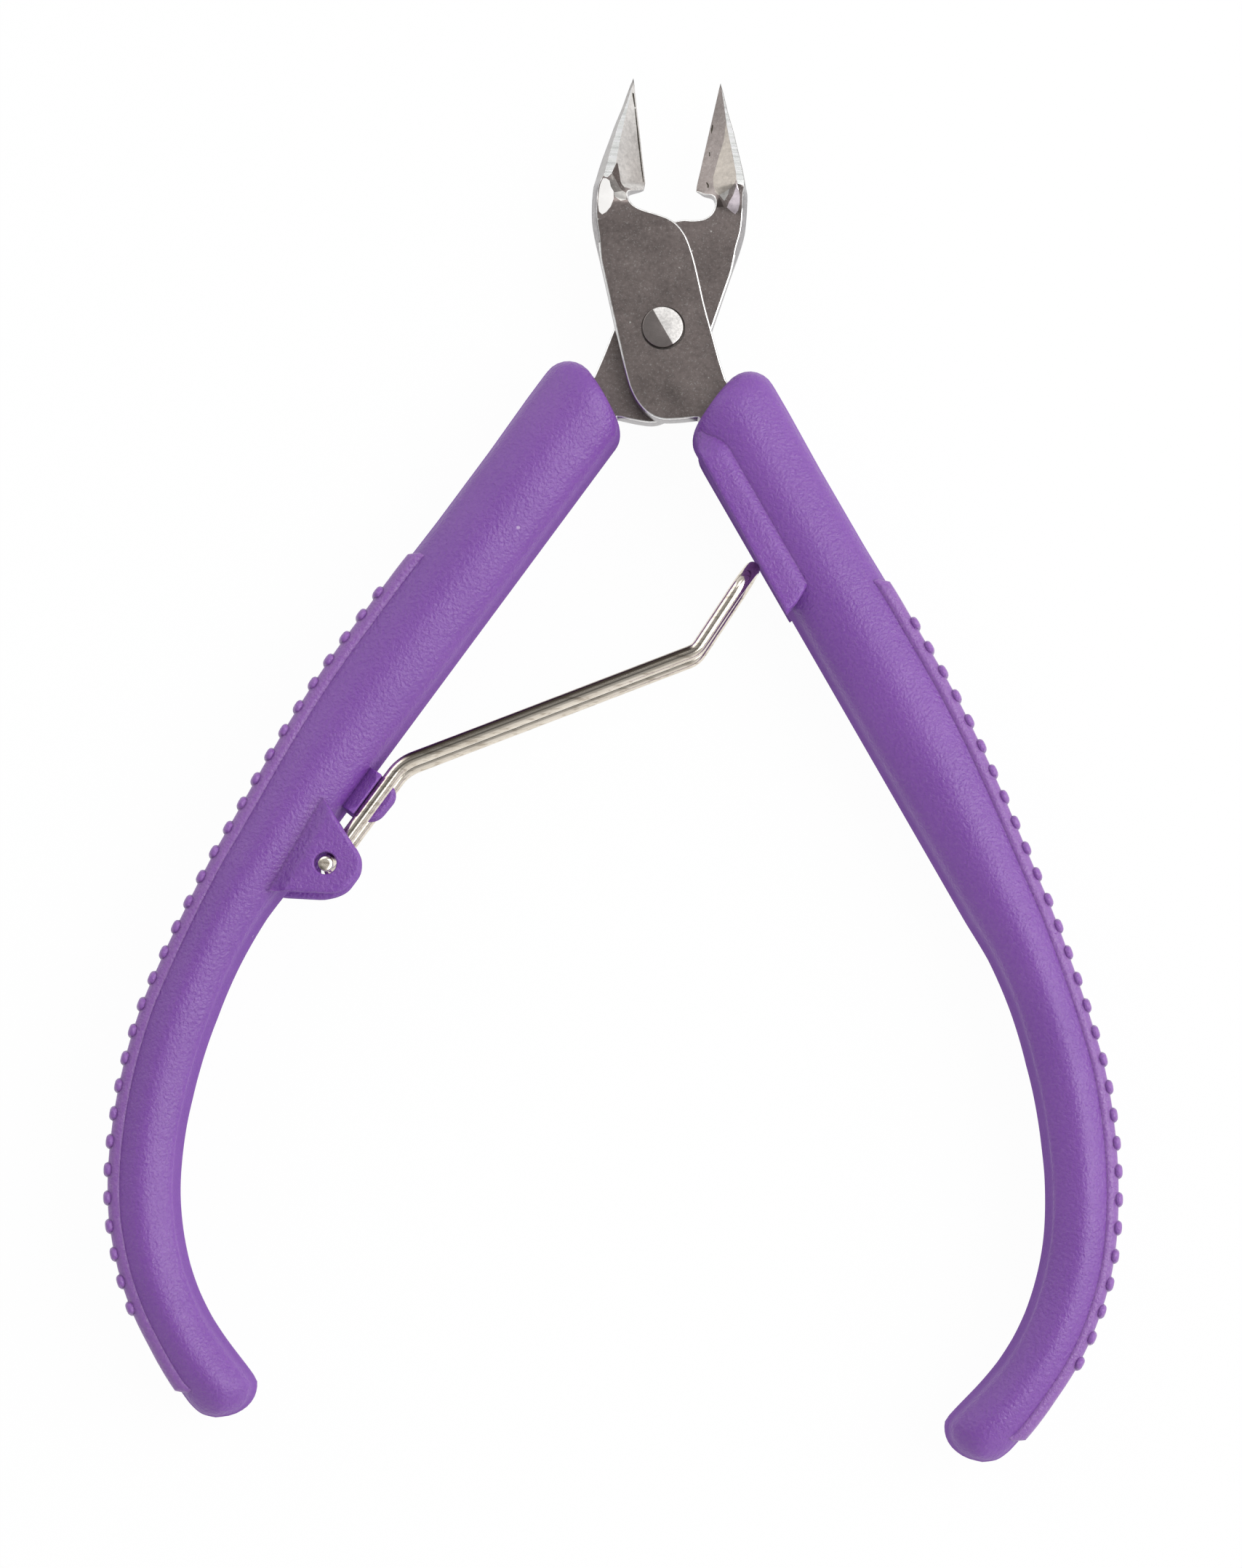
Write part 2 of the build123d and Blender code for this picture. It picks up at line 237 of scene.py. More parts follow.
class Shell:
    """Points and faces of one piece, gathered from its parts."""

    def __init__(self):
        self.points, self.faces, self.tints = [], [], []

    def add(self, points, faces, tint=0):
        base = len(self.points)
        self.points += points
        self.faces += [tuple(base + i for i in face) for face in faces]
        self.tints += tint if isinstance(tint, list) else [tint] * len(faces)

    def loft(self, rings, flip=False, ends=False, tint=0):
        """Joins closed rings of points one to the next, and closes both ends if asked."""
        turn, faces = len(rings[0]), []
        for r in range(len(rings) - 1):
            for k in range(turn):
                a, b = r * turn + k, r * turn + (k + 1) % turn
                faces.append((a, b, b + turn, a + turn) if flip else (a, a + turn, b + turn, b))
        if ends:
            last = (len(rings) - 1) * turn
            caps = [list(range(turn)), [last + k for k in reversed(range(turn))]]
            faces += [cap[::-1] if flip else cap for cap in caps]
        self.add([p for ring in rings for p in ring], faces, tint)
        return self

    def reflected(self, x=1, z=1):
        """The mirror image, on the other side or the other face of the tool."""
        other = Shell()
        other.points = [(x * p, q, z * r) for p, q, r in self.points]
        other.faces = [tuple(reversed(face)) for face in self.faces]
        other.tints = list(self.tints)
        return other

    def righted(self):
        """The shell, with its faces turned round if they pointed inwards."""
        volume = 0.0
        for face in self.faces:
            a = Vector(self.points[face[0]])
            for i, j in zip(face[1:], face[2:]):
                volume += a.dot(Vector(self.points[i]).cross(Vector(self.points[j])))
        if volume < 0:
            self.faces = [tuple(reversed(face)) for face in self.faces]
        return self

    def piece(self, name, material, body, nodes, crease):
        """Makes a piece of the scene that rides on a body and stands for its CAD nodes."""
        mesh = bpy.data.meshes.new(name)
        mesh.from_pydata([put(*point) for point in self.points], [], self.faces)
        mesh.materials.append(material)
        mesh.polygons.foreach_set("use_smooth", [True] * len(mesh.polygons))
        mesh.set_sharp_from_angle(angle=radians(crease))
        piece = placed(name, mesh)
        if body:
            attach(piece, body)
        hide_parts(*nodes)
        return piece


def joined(*shells):
    whole = Shell()
    for shell in shells:
        whole.add(shell.points, shell.faces, shell.tints)
    return whole


def outward(line, i):
    """Unit normal of a closed anticlockwise line at a point, pointing out."""
    ax, ay = line[i - 1][:2]
    bx, by = line[(i + 1) % len(line)][:2]
    size = hypot(bx - ax, by - ay) or 1.0
    return (by - ay) / size, -(bx - ax) / size


def leftward(line):
    """The closed line in anticlockwise order."""
    area = sum(a[0] * b[1] - b[0] * a[1] for a, b in zip(line, line[1:] + line[:1]))
    return line if area > 0 else line[::-1]


def fill(line, extra=(), seams=(), areas=()):
    """Triangles inside a closed line. Returns the points, the faces, the areas that each face
    is in, and for each point the given one that it came from, or -1."""
    spots = [Vector(p[:2]) for p in line]
    edges = [(i, (i + 1) % len(line)) for i in range(len(line))]
    faces = [list(range(len(line)))]
    for seam in seams:
        base = len(spots)
        spots += [Vector(p) for p in seam]
        edges += [(base + i, base + i + 1) for i in range(len(seam) - 1)]
    for area in areas:
        base = len(spots)
        spots += [Vector(p) for p in leftward(area)]
        faces.append([base + i for i in range(len(area))])
    spots += [Vector(p) for p in extra]
    found, _, made, origin, _, home = delaunay_2d_cdt(spots, edges, faces, 1, 1e-5, True)
    keep = [i for i, face in enumerate(made) if 0 in home[i]]
    first = [min(o) if o else -1 for o in origin]
    return found, [made[i] for i in keep], [home[i] for i in keep], first


def round_rim(r, z, inward):
    """(inset, z) pairs of a quarter round that starts flat at z."""
    turns = [pi / 2 * i / 4 for i in range(5)]
    return [(r * (1 - sin(a)), z - inward * r * (1 - cos(a))) for a in turns]


def middle(points, face):
    """The middle of a flat triangle."""
    return tuple(sum(points[i][axis] for i in face) / 3 for axis in (0, 1))


def within(p, line, margin):
    """Whether a point is inside a closed line and clear of it."""
    inside = False
    for (ax, ay), (bx, by) in zip(line, line[1:] + line[:1]):
        if (ay > p.y) != (by > p.y) and p.x < (bx - ax) * (p.y - ay) / (by - ay) + ax:
            inside = not inside
    return inside and far(p, line, margin)


def far(p, line, margin):
    for a, b in zip(line, line[1:] + line[:1]):
        a, b = Vector(a), Vector(b)
        t = min(max((p - a).dot(b - a) / max((b - a).length_squared, 1e-12), 0), 1)
        if (p - a - (b - a) * t).length < margin:
            return False
    return True


def write(piece, name, kind, domain, values):
    """Stores one named value for each point or face of a finished piece."""
    layer = piece.data.attributes.new(name, kind, domain)
    layer.data.foreach_set("color" if kind == "FLOAT_COLOR" else "value", values)


def tinted(piece, shell):
    """Stores each face's tint and grinding marks."""
    write(piece, "tint", "FLOAT_COLOR", "FACE", [c for t in shell.tints for c in (*tints[t][0], 1)])
    write(piece, "marks", "FLOAT", "FACE", [tints[t][1] for t in shell.tints])


def steepened(piece):
    """Stores how steeply each place stands, from 0 for flat to 1 for upright."""
    write(piece, "steep", "FLOAT", "POINT", [1 - abs(v.normal.z) for v in piece.data.vertices])


# ---- shader maths ----
class Value:
    """One output of a node. Arithmetic on it adds the Math nodes that it needs."""

    def __init__(self, maker, socket):
        self.maker, self.socket = maker, socket

    def math(self, operation, *others):
        return self.maker.node("ShaderNodeMath", {"operation": operation}, [self, *others])

    def __add__(self, other):
        return self.math("ADD", other)

    __radd__ = __add__

    def __sub__(self, other):
        return self.math("SUBTRACT", other)

    def __rsub__(self, other):
        return self.maker.node("ShaderNodeMath", {"operation": "SUBTRACT"}, [other, self])

    def __mul__(self, other):
        return self.math("MULTIPLY", other)

    def __gt__(self, other):
        return self.math("GREATER_THAN", other)

    def fade(self, start, end):
        """0 at start and before, 1 at end and after, easing between."""
        settings = {"interpolation_type": "SMOOTHSTEP"}
        return self.maker.node("ShaderNodeMapRange", settings, [self, start, end])


class Maker:
    """Adds nodes to one tree. In a finish, place is where its patterns are read."""

    def __init__(self, tree):
        self.tree = tree

    def node(self, kind, settings=None, inputs=(), output=0):
        """Adds a node and returns one of its outputs."""
        made = self.tree.nodes.new(kind)
        for name, value in (settings or {}).items():
            setattr(made, name, value)
        pairs = inputs.items() if isinstance(inputs, dict) else enumerate(inputs)
        for key, value in pairs:
            if isinstance(value, Value):
                self.tree.links.new(value.socket, made.inputs[key])
            elif value is not None:
                made.inputs[key].default_value = value
        return Value(self, made.outputs[output]) if made.outputs else None

    def mix(self, share, a, b, blend="MIX"):
        """Colour a where share is 0 and b where it is 1."""
        a, b = [c if isinstance(c, Value) else (*c, 1) for c in (a, b)]
        settings = {"data_type": "RGBA", "blend_type": blend}
        return self.node("ShaderNodeMix", settings, {0: share, 6: a, 7: b}, 2)

    def attribute(self, name, output="Fac"):
        """What was stored on the mesh under this name."""
        return self.node("ShaderNodeAttribute", {"attribute_name": name}, (), output)

    def toned(self, tint, tone):
        """The tint made lighter or darker by a grey tone."""
        shade = self.node("ShaderNodeCombineColor", None, [tone, tone, tone])
        return self.mix(1.0, tint, shade, "MULTIPLY")

    def noise(self, scale, detail, rough, squeeze=0.0, place=None):
        return self.node("ShaderNodeTexNoise", {"noise_dimensions": "3D"},
                         {"Vector": place or self.place, "Scale": scale, "Detail": detail,
                          "Roughness": rough, "Distortion": squeeze})

    def cells(self, scale, feature="F1", output="Distance"):
        return self.node("ShaderNodeTexVoronoi", {"feature": feature},
                         {"Vector": self.place, "Scale": scale}, output)

    def turned(self, turn=(0, 0, 0), scale=(1, 1, 1)):
        """Pattern place turned and stretched about the pivot."""
        return self.node("ShaderNodeMapping", {"vector_type": "POINT"},
                         {"Vector": self.place, "Rotation": turn, "Scale": scale})

    def bump(self, height, distance, strength):
        return self.node("ShaderNodeBump", None,
                         {"Strength": strength, "Distance": distance, "Height": height})

    def feed(self, **links):
        """Joins these values to the finish's surface and returns its material."""
        for key, value in links.items():
            self.tree.links.new(value.socket, self.skin.inputs[key.replace("_", " ")])
        return self.material


def cleared(block):
    """Empties a block's node tree and returns a maker for it."""
    block.use_nodes = True
    block.node_tree.nodes.clear()
    return Maker(block.node_tree)


def surface(name, **fixed):
    """A maker for a new material with one Principled surface."""
    material = bpy.data.materials.new(name)
    maker = cleared(material)
    skin = maker.node("ShaderNodeBsdfPrincipled")
    maker.node("ShaderNodeOutputMaterial", None, [skin])
    maker.material, maker.skin = material, skin.socket.node
    maker.place = maker.node("ShaderNodeTexCoord", None, (), "Object")
    for key, value in fixed.items():
        maker.skin.inputs[key.replace("_", " ")].default_value = value
    return maker


# ---- finishes ----
def blade_steel():
    """Ground and polished steel. Each face's own tint and marks say how it was ground, or paint a
    highlight, reflection or shade on it, and marks below 0 mean a painted white reflection."""
    maker = surface("ground_blade_steel", Metallic=1.0)
    kind = maker.attribute("marks")
    marks = kind.math("MAXIMUM", 0.0)
    white_reflection = (0 - kind).math("MAXIMUM", 0.0)
    clouds = maker.noise(260, 3, 0.6)
    grain = maker.noise(2600, 2, 0.7)
    lines = maker.noise(1.0, 1, 0.6, place=maker.turned(scale=(160, 3000, 160)))
    specks = (0.17 - maker.cells(1500)).fade(0.0, 0.1)
    bright = specks * (maker.cells(1500, output="Color") > 0.8)
    dusty = maker.noise(6500, 2, 0.6).fade(0.56, 0.74)
    tone = 1.0 + (clouds - 0.5) * 0.45 + (grain - 0.5) * (1 - marks * 0.8) * 0.8
    tone = tone + (lines - 0.5) * marks * 0.8
    base = maker.toned(maker.attribute("tint", "Color"), tone)
    base = maker.mix((bright * 0.8 + dusty * 0.32) * (1 - marks), base, (0.8, 0.78, 0.75))
    # painted white reflection: faces with marks below 0 turn pale and less metallic
    base = maker.mix(white_reflection, base, (0.86, 0.845, 0.825))
    return maker.feed(Base_Color=base, Metallic=1 - white_reflection * 0.75,
                      Roughness=0.3 + white_reflection * 0.2 + (clouds - 0.5) * 0.15 - marks * 0.02,
                      Normal=maker.bump((lines - 0.5) * marks + grain * 0.15, 0.00002, 0.5))


def rivet_steel():
    """Bare steel of the rivet: one facet painted bright as if lit, and grainier, the other painted dark as
    shade.
    """
    maker = surface("bare_rivet_steel", Metallic=1.0)
    marks = maker.attribute("marks")
    grain = maker.noise(3800, 3, 0.75)
    clouds = maker.noise(900, 2, 0.5)
    tone = 1.0 + (grain - 0.5) * (0.35 + marks * 0.75) + (clouds - 0.5) * 0.25
    return maker.feed(Base_Color=maker.toned(maker.attribute("tint", "Color"), tone),
                      Roughness=0.36 + marks * 0.12, Normal=maker.bump(grain, 0.00003, 0.35))


def purple_grip(name, lighter=0.0):
    """Moulded purple plastic with a fine leather grain and specks of dust. Its upright sides are rougher
    and painted a little darker, as shade."""
    maker = surface(
        name, Specular_IOR_Level=0.62, Subsurface_Weight=0.3,
        Subsurface_Radius=(1.0, 0.5, 1.2), Subsurface_Scale=0.0012)
    cell = maker.cells(3600, "SMOOTH_F1")
    ripple = maker.noise(3700, 2, 0.55, 0.5)
    fine = maker.noise(9000, 2, 0.5)
    broad = maker.noise(90, 2, 0.5)
    side = maker.attribute("steep").fade(0.55, 0.95)
    worn = maker.noise(260, 3, 0.6).fade(0.42, 0.6)
    height = (ripple - 0.5) * 1.1 + cell * 0.5 + (fine - 0.5) * 0.15
    dust = (0.1 - maker.cells(420)).fade(0.0, 0.05)
    some = maker.cells(420, output="Color") > 0.93
    deep = maker.mix(broad.fade(0.3, 0.7), (0.189, 0.058, 0.346), (0.207, 0.066, 0.368))
    # lighter, when given, paints the plastic lighter as if lit
    base = maker.mix((ripple - 0.35).fade(0.0, 0.4) * 0.25 + lighter, deep, (0.290, 0.140, 0.400))
    # painted shade: the upright sides are darkened
    base = maker.mix(side * 0.2, base, (0.10, 0.030, 0.24))
    base = maker.mix(dust * some * 0.55, base, (0.62, 0.50, 0.70))
    return maker.feed(Base_Color=base,
                      Roughness=0.36 + (ripple - 0.5) * 0.1 + worn * 0.05 + side * 0.6,
                      Normal=maker.bump(height, 0.00009, 1.0))


def spring_wire():
    """Bright nickel-plated wire with faint drawing lines and a painted dark reflection along the top of the
    front leg."""
    maker = surface("plated_spring_wire", Metallic=1.0)
    blotch = maker.noise(500, 3, 0.6)
    drawn = maker.turned(turn=(0, 0, radians(-24)), scale=(60, 3000, 3000))
    streak = maker.noise(1.0, 2, 0.6, place=drawn)
    base = maker.mix(blotch.fade(0.35, 0.7), (0.82, 0.75, 0.65), (0.72, 0.65, 0.55))
    base = maker.mix(streak.fade(0.5, 0.7) * 0.6, base, (0.34, 0.28, 0.21))
    # painted dark reflection along the top of the front leg
    base = maker.mix(maker.attribute("dark_reflection_band"), base, (0.075, 0.06, 0.045))
    return maker.feed(Base_Color=base, Roughness=0.16 + (blotch - 0.5) * 0.12,
                      Normal=maker.bump(streak, 0.00001, 0.4))


# ---- blades ----
# One blade is drawn with its jaw on the left and its tang going into the right grip. The
# rear blade is the same shape turned over to the other side.
# Each kind of face has its tint and its grinding marks. Some tints are painted light: the bright edge
# tint is a painted highlight on rounded rims, the tints of the areas at the neck of each jaw are
# painted reflections, bright or dark, the rear bevel's darker tint and the line tint of the rivet's
# seat are painted shade, and of the rivet's two head tints one is painted lit and one painted in shade.
tints = {
    "plate": ((0.27, 0.228, 0.216), 0.0), "wall": ((0.37, 0.355, 0.345), 0.5),
    "rim": ((0.36, 0.345, 0.35), 0.1),
    "edge": ((0.95, 0.94, 0.92), 0.0), "strip": ((0.97, 0.98, 0.96), 1.0),
    "bevel": ((0.69, 0.665, 0.64), 0.1), "lilac": ((0.335, 0.295, 0.28), 0.2),
    "scoop": ((0.86, 0.845, 0.825), -1.0), "dark": ((0.13, 0.107, 0.10), 0.3),
    "patch": ((0.66, 0.64, 0.61), 0.2), "grey": ((0.27, 0.25, 0.235), 0.1),
    "cream": ((0.51, 0.465, 0.415), 0.3), "leaf": ((0.85, 0.76, 0.81), 0.2),
    "line": ((0.20, 0.18, 0.17), 0.0), "ink": ((0.06, 0.052, 0.04), 0.0),
    "grainy": ((0.69, 0.67, 0.65), 1.0), "dull": ((0.288, 0.256, 0.245), 0.0),
    "shank": ((0.30, 0.27, 0.25), 0.2),
}
outer_side = [
    (-4.28, 23), (-4.58, 22), (-4.87, 21), (-5.21, 20), (-5.55, 19), (-5.84, 18), (-6.14, 17),
    (-6.44, 16), (-6.7, 15), (-6.92, 14), (-7.05, 13), (-7.09, 12), (-7.09, 11), (-7.04, 10),
    (-6.9, 9.1), (-6.56, 7.7), (-6.09, 6.1), (-5.3, 3.3), (-4.46, 0.3), (-3.8, -2.05), (-3.17, -4.28),
    (-2.6, -5.87), (-1.82, -7.13), (-0.85, -8), (0.3, -8.45), (1.74, -8.4), (3.65, -8.1)]
inner_side = [
    (6, -4.5), (5.27, -2.51), (4.58, -0.4), (3.7, 2.28), (2.7, 5.81), (2.08, 7.6), (1.5, 8.76),
    (0.75, 9.62), (-0.15, 10.17), (-1.27, 10.5)]


def edge_x(y):
    """Where the cutting edge stands."""
    return -tan(half_open) * y - edge_gap


edge_line = [(edge_x(y), float(y)) for y in range(14, 24)]
cut_line = [(p[1], -p[0]) for p in [(-2.35, 13.3)] + edge_line + [tip]]
front_notch = [
    (-2.4, 10.78), (-3.03, 11.02), (-3.46, 11.31), (-3.74, 11.71), (-3.87, 12.17), (-3.86, 12.53),
    (-3.69, 12.72), (-3.3, 12.9), (-2.75, 13.11)]
rear_notch = [
    (-2.1, 10.51), (-2.86, 10.61), (-3.41, 10.82), (-3.85, 11.21), (-4.1, 11.74), (-4.15, 12.27),
    (-4.06, 12.62), (-3.81, 12.87), (-3.1, 13.02), (-2.62, 13.3)]
front_ridge = [(14.1, 5.46), (15.28, 5.14), (17.66, 4.86), (19.93, 4.52), (22.09, 4.16), (23.4, 4.03)]
rear_ridge = [
    (14.12, 5.97), (15.07, 5.82), (16.42, 5.53), (17.76, 5.21), (19.51, 4.8), (21.81, 4.4),
    (23.1, 4.15), (23.6, 4.05)]
# The areas at the front jaw's neck are painted reflections of its curved slope: the scoop area is a painted
# white reflection, the patch a painted bright one, and the dark and grey areas painted dark reflections.
front_areas = [
    ("scoop", [
        (-5.93, 13.62), (-5.62, 13.4), (-5.46, 12.79), (-5.17, 12.34), (-5.13, 11.67), (-5.36, 10.88),
        (-5.74, 10.35), (-6.1, 10.1), (-6.4, 10.35), (-6.53, 11), (-6.53, 11.8), (-6.5, 12.5),
        (-6.42, 13.1), (-6.22, 13.6)]),
    ("dark", [
        (-5.06, 15.27), (-5.43, 14.2), (-5.01, 13.51), (-4.62, 12.81), (-4.35, 12.57), (-4.1, 12.72),
        (-4.22, 13.04), (-4.44, 13.24), (-4.6, 13.49), (-4.75, 14.26), (-4.95, 15.12)]),
    ("patch", [
        (-5.14, 12.26), (-5.02, 11.8), (-4.49, 11.47), (-3.98, 11.6), (-3.98, 12.3), (-4.35, 12.57)]),
    ("grey", [
        (-5.43, 14.2), (-5.62, 13.4), (-5.46, 12.79), (-5.14, 12.26), (-4.35, 12.57), (-4.62, 12.81),
        (-5.01, 13.51)])]
# Dark bands: each runs a little inside the edge, (place along the edge, width).
ink = [
    (14.05, 0.08), (15, 0.11), (16, 0.13), (17, 0.13), (18, 0.14), (19, 0.12), (20, 0.11), (21, 0.1),
    (21.8, 0.16), (22.3, 0.18)]
dark_band_line = [(edge_x(y) - 0.12, y) for y, _ in ink]
dark_band_back = [(x - wide, y) for (x, y), (_, wide) in zip(dark_band_line, ink)][::-1]
front_areas.append(("ink", dark_band_line + dark_band_back))
# On the rear jaw the cream, patch and leaf areas are painted bright reflections, and the dark area a
# painted dark reflection.
rear_areas = [
    ("cream", [
        (-4.72, 19.8), (-4.6, 18.06), (-4.2, 16.5), (-4, 15.5), (-3.82, 14.64), (-3.89, 13.81),
        (-4.13, 13.2), (-4.4, 12.91), (-4.9, 13.14), (-5.49, 13.49), (-5.8, 13.87), (-5.93, 14.3),
        (-5.8, 15.07), (-5.51, 16.42), (-5.19, 17.76), (-4.9, 19)]),
    ("patch", [(-4.45, 12.98), (-4.95, 12.38), (-5.27, 12.92), (-5.35, 13.39), (-4.9, 13.21)]),
    ("dark", [(-4.45, 12.74), (-4.34, 12.39), (-4.29, 11.82), (-4.93, 11.88), (-4.75, 12.31)]),
    ("leaf", [
        (-6, 13.85), (-6.22, 13.25), (-6.35, 12.8), (-6.38, 12.18), (-6.27, 11.6), (-6.02, 11.27),
        (-5.59, 11.55), (-5.22, 11.84), (-5.4, 12.32), (-5.73, 12.86), (-5.9, 13.39)]),
    # small dark areas along the rear jaw's edge
    ("ink", [(-3.46, 19.85), (-3.56, 19.7), (-3.54, 19.3), (-3.46, 18.9), (-3.38, 19.2)]),
    ("ink", [(-3.32, 17.2), (-3.42, 17.1), (-3.44, 16.8), (-3.34, 16.75)]),
    ("ink", [
        (-3.18, 14.3), (-3.36, 14.2), (-3.48, 13.95), (-3.46, 13.7), (-3.34, 13.72), (-3.34, 13.95),
        (-3.26, 14.1)])]

# Steps of the rounded rims, as (inset, drop), and the jaw wall's foot as (place, width).
small_round = [(1, 0), (0.8, 0.02), (0.6, 0.084), (0.36, 0.23), (0.16, 0.456), (0, 1)]
broad_round = [(0.5, 0), (0.44, 0.01), (0.4, 0.03), (0.36, 0.08), (0.32, 0.16), (0, 0.95)]
tang_round = [(0.17, 0), (0.14, 0.004), (0.1, 0.016), (0.06, 0.045), (0.03, 0.09), (0, 0.25)]
jaw_wall = [(14.2, 0.89), (15.4, 0.81), (17.5, 0.58), (19.3, 0.4), (21, 0.33), (23, 0.22), (23.7, 0.05)]


def jaw_z(x, y, ridge):
    """Height of the ground faces of a jaw."""
    cut, top = between(y, cut_line), between(y, ridge)
    across = clamp((-x - cut) / max(top - cut, 0.02))
    rise = ridge_top - (max(y, jaw_foot) - jaw_foot) * ridge_fall - flush_z - edge_t
    return flush_z + edge_t + rise * across - strip_fall * max(-x - top, 0.0)


def outer_profile(w, drop, y):
    """Rim steps of the outer side: a standing wall at the jaw, a broad round beside the
    rivet and a small one at the tang."""
    wall = [(w + 0.04, 0)] + [(w * (1 - t), drop * t) for t in (0, 0.25, 0.5, 0.75, 1)]
    a, b = ease(y, 12.8, 14.2), ease(y, 5.5, 8.5)
    return [tuple(u * a + (v * b + t * (1 - b)) * (1 - a) for u, v, t in zip(*three))
            for three in zip(wall, broad_round, tang_round)]


def rim_kind(ring, zone, y):
    """Which kind a face of the blade's rim is, from its ring and its place. The bright edge kind on the
    first rows of a rim is a painted highlight.
    """
    if ring >= 6:
        return "plate"
    if zone == "outer" and y < 13.9:
        return "edge" if ring < (1 if y > 7.5 else 4) else "rim"
    if zone == "inner":
        return "rim" if ring > 3 else "edge"
    return "rim" if zone == "outer" and ring > 3 else "wall"


def build_blade(low, notch, areas, ridge, lean):
    """A whole blade between low and low + plate_t."""
    high, is_front = low + plate_t, low > 0
    tang = [grip_point(*p) for p in ((8, 3.0), (44, 2.4), (44, 5.4), (30, 6.8), (3, 7.3))]
    outer = curve_through([tip] + outer_side, 0.35)
    inner = curve_through(inner_side + notch, 0.22)
    cut = curve_through([(notch[-1][0] + 0.27, notch[-1][1] + 0.16)] + edge_line, 0.5)
    rim = outer + tang + inner + cut
    count, jaw_end, cut_start = len(rim), len(outer), len(rim) - len(cut)
    zones = ["outer"] * jaw_end + ["inner"] * (cut_start - jaw_end) + ["cut"] * len(cut)

    def top(x, y):
        return high + (jaw_z(x, max(y, jaw_foot), ridge) - high) * ease(y, 11.4, 13.9)

    def under(y):
        return low + (flush_z - low) * ease(y, 11.0, 13.4)

    rings = [[] for _ in range(9)]
    for k, (x, y) in enumerate(rim):
        nx, ny = outward(rim, k) if k else (0.0, 1.0)
        if zones[k] == "outer":
            w = between(y, jaw_wall) * lean
            steps = outer_profile(w, top(x + w, y) - flush_z - 0.12, y)
        elif zones[k] == "inner":
            steps = [(0.14 * i, 0.14 * d) for i, d in small_round]
        else:
            steps = [(0.03 * i, 0.018 * d) for i, d in small_round]
        base = under(y)
        level = top(x - nx * steps[0][0], y - ny * steps[0][0])
        most = max(d for _, d in steps)
        scale = min(1.0, max(level - base - 0.02, 0.005) / most) if most > 0 else 1.0
        for ring, (i, d) in zip(rings, steps):
            ring.append((x - nx * i, y - ny * i, level - d * scale))
        rings[6].append((x, y, base + min(0.06, (level - most * scale - base) * 0.5)))
        rings[7].append((x - nx * 0.06, y - ny * 0.06, base))
        rings[8].append((x - nx * 0.10, y - ny * 0.10, base))
    shell = Shell()
    shell.loft(rings, tint=[rim_kind(r, zones[k], rim[k][1]) for r in range(8) for k in range(count)])

    # the front face, cut into its ground areas and its areas of painted reflection, with the rivet's seat
    # sunk in the front blade
    face = [p[:2] for p in rings[0]]
    grid = [Vector((-7.0 + 0.24 * i, 9.9 + 0.24 * j)) for i in range(22) for j in range(18)]
    extra = [p for p in grid if within(p, face, 0.12) and all(far(p, area, 0.08) for _, area in areas)]
    seat = circle(*seat_mid, seat_r, 60)
    seams = [[(-x, y) for y, x in ridge]]
    found, made, home, first = fill(face, extra, seams, [seat] + [area for _, area in areas])
    kept, kinds = [], []
    for tri, where in zip(made, home):
        if 1 in where and is_front:
            continue
        x, y = middle(found, tri)
        kind = "plate"
        # the rear blade's bevel takes a darker tint than the front one's, a painted shade
        if y > 13.0 and -x < between(y, ridge):
            kind = "bevel" if is_front else "lilac"
        if y > 13.75 and -x > between(y, ridge):
            kind = "strip"
        named = [name for n, (name, _) in enumerate(areas) if n + 2 in where]
        kept.append(tri)
        kinds.append(named[0] if named else kind)
    tops = [(p.x, p.y, rings[0][f][2] if 0 <= f < count else top(p.x, p.y)) for p, f in zip(found, first)]
    shell.add(tops, kept, kinds)
    jaw_spots = [(-4.5, 13.4), (-5.5, 13.4), (-4.5, 11.0), (-6, 11.0)]
    found, made, _, _ = fill([p[:2] for p in rings[8]], jaw_spots)
    shell.add([(p.x, p.y, under(p.y)) for p in found], [f[::-1] for f in made], "plate")
    if is_front:
        # the seat's wall and floor take the dark line tint, a painted shade in the recess
        rings = [[(x, y, high - depth) for x, y in seat] for depth in (0, seat_depth)]
        shell.loft(rings, flip=True, tint="line")
        shell.add(rings[1], [range(len(seat))], "line")
    return shell


def build_rivet():
    """Rivet with a two-faceted front head and a staked rear end."""
    shell = Shell()
    front = plate_t + plate_gap / 2
    ridge = (cos(head_turn), sin(head_turn))
    count = 72

    def past_ridge(x, y):
        return x * ridge[1] - y * ridge[0]

    def roof(x, y):
        return front + head_rise - head_fall / head_r * abs(past_ridge(x, y))

    rings = [[(x, y, roof(x, y) - d) for x, y in circle(0, 0, r, count, head_turn)]
             for r, d in ((head_r - 0.07, 0.0), (head_r - 0.03, 0.012), (head_r, 0.05))]
    levels = [(head_r, front - head_under), (shank_r, front - head_under), (shank_r, -front),
              (2.14, -front), (2.2, -front - 0.04), (2.2, -front - 0.36), (2.12, -front - 0.47),
              (1.98, -front - 0.55)]
    rings += [[(x, y, z) for x, y in circle(0, 0, r, count, head_turn)] for r, z in levels]
    # one half of the head is painted lit, the other painted in shade; the staked rear end takes the shade
    # tint too
    facets = ["grainy"] * (count // 2) + ["dull"] * (count // 2)
    shell.loft(rings, tint=facets * 2 + ["shank"] * count * (len(rings) - 3))
    top = [p[:2] for p in rings[0]]
    found, made, _, _ = fill(top, (), [[top[0], (0, 0), top[count // 2]]])
    kinds = ["grainy" if past_ridge(*middle(found, tri)) < 0 else "dull" for tri in made]
    shell.add([(p.x, p.y, roof(p.x, p.y)) for p in found], made, kinds)
    shell.add(rings[-1], [range(count)[::-1]], "dull")
    return shell


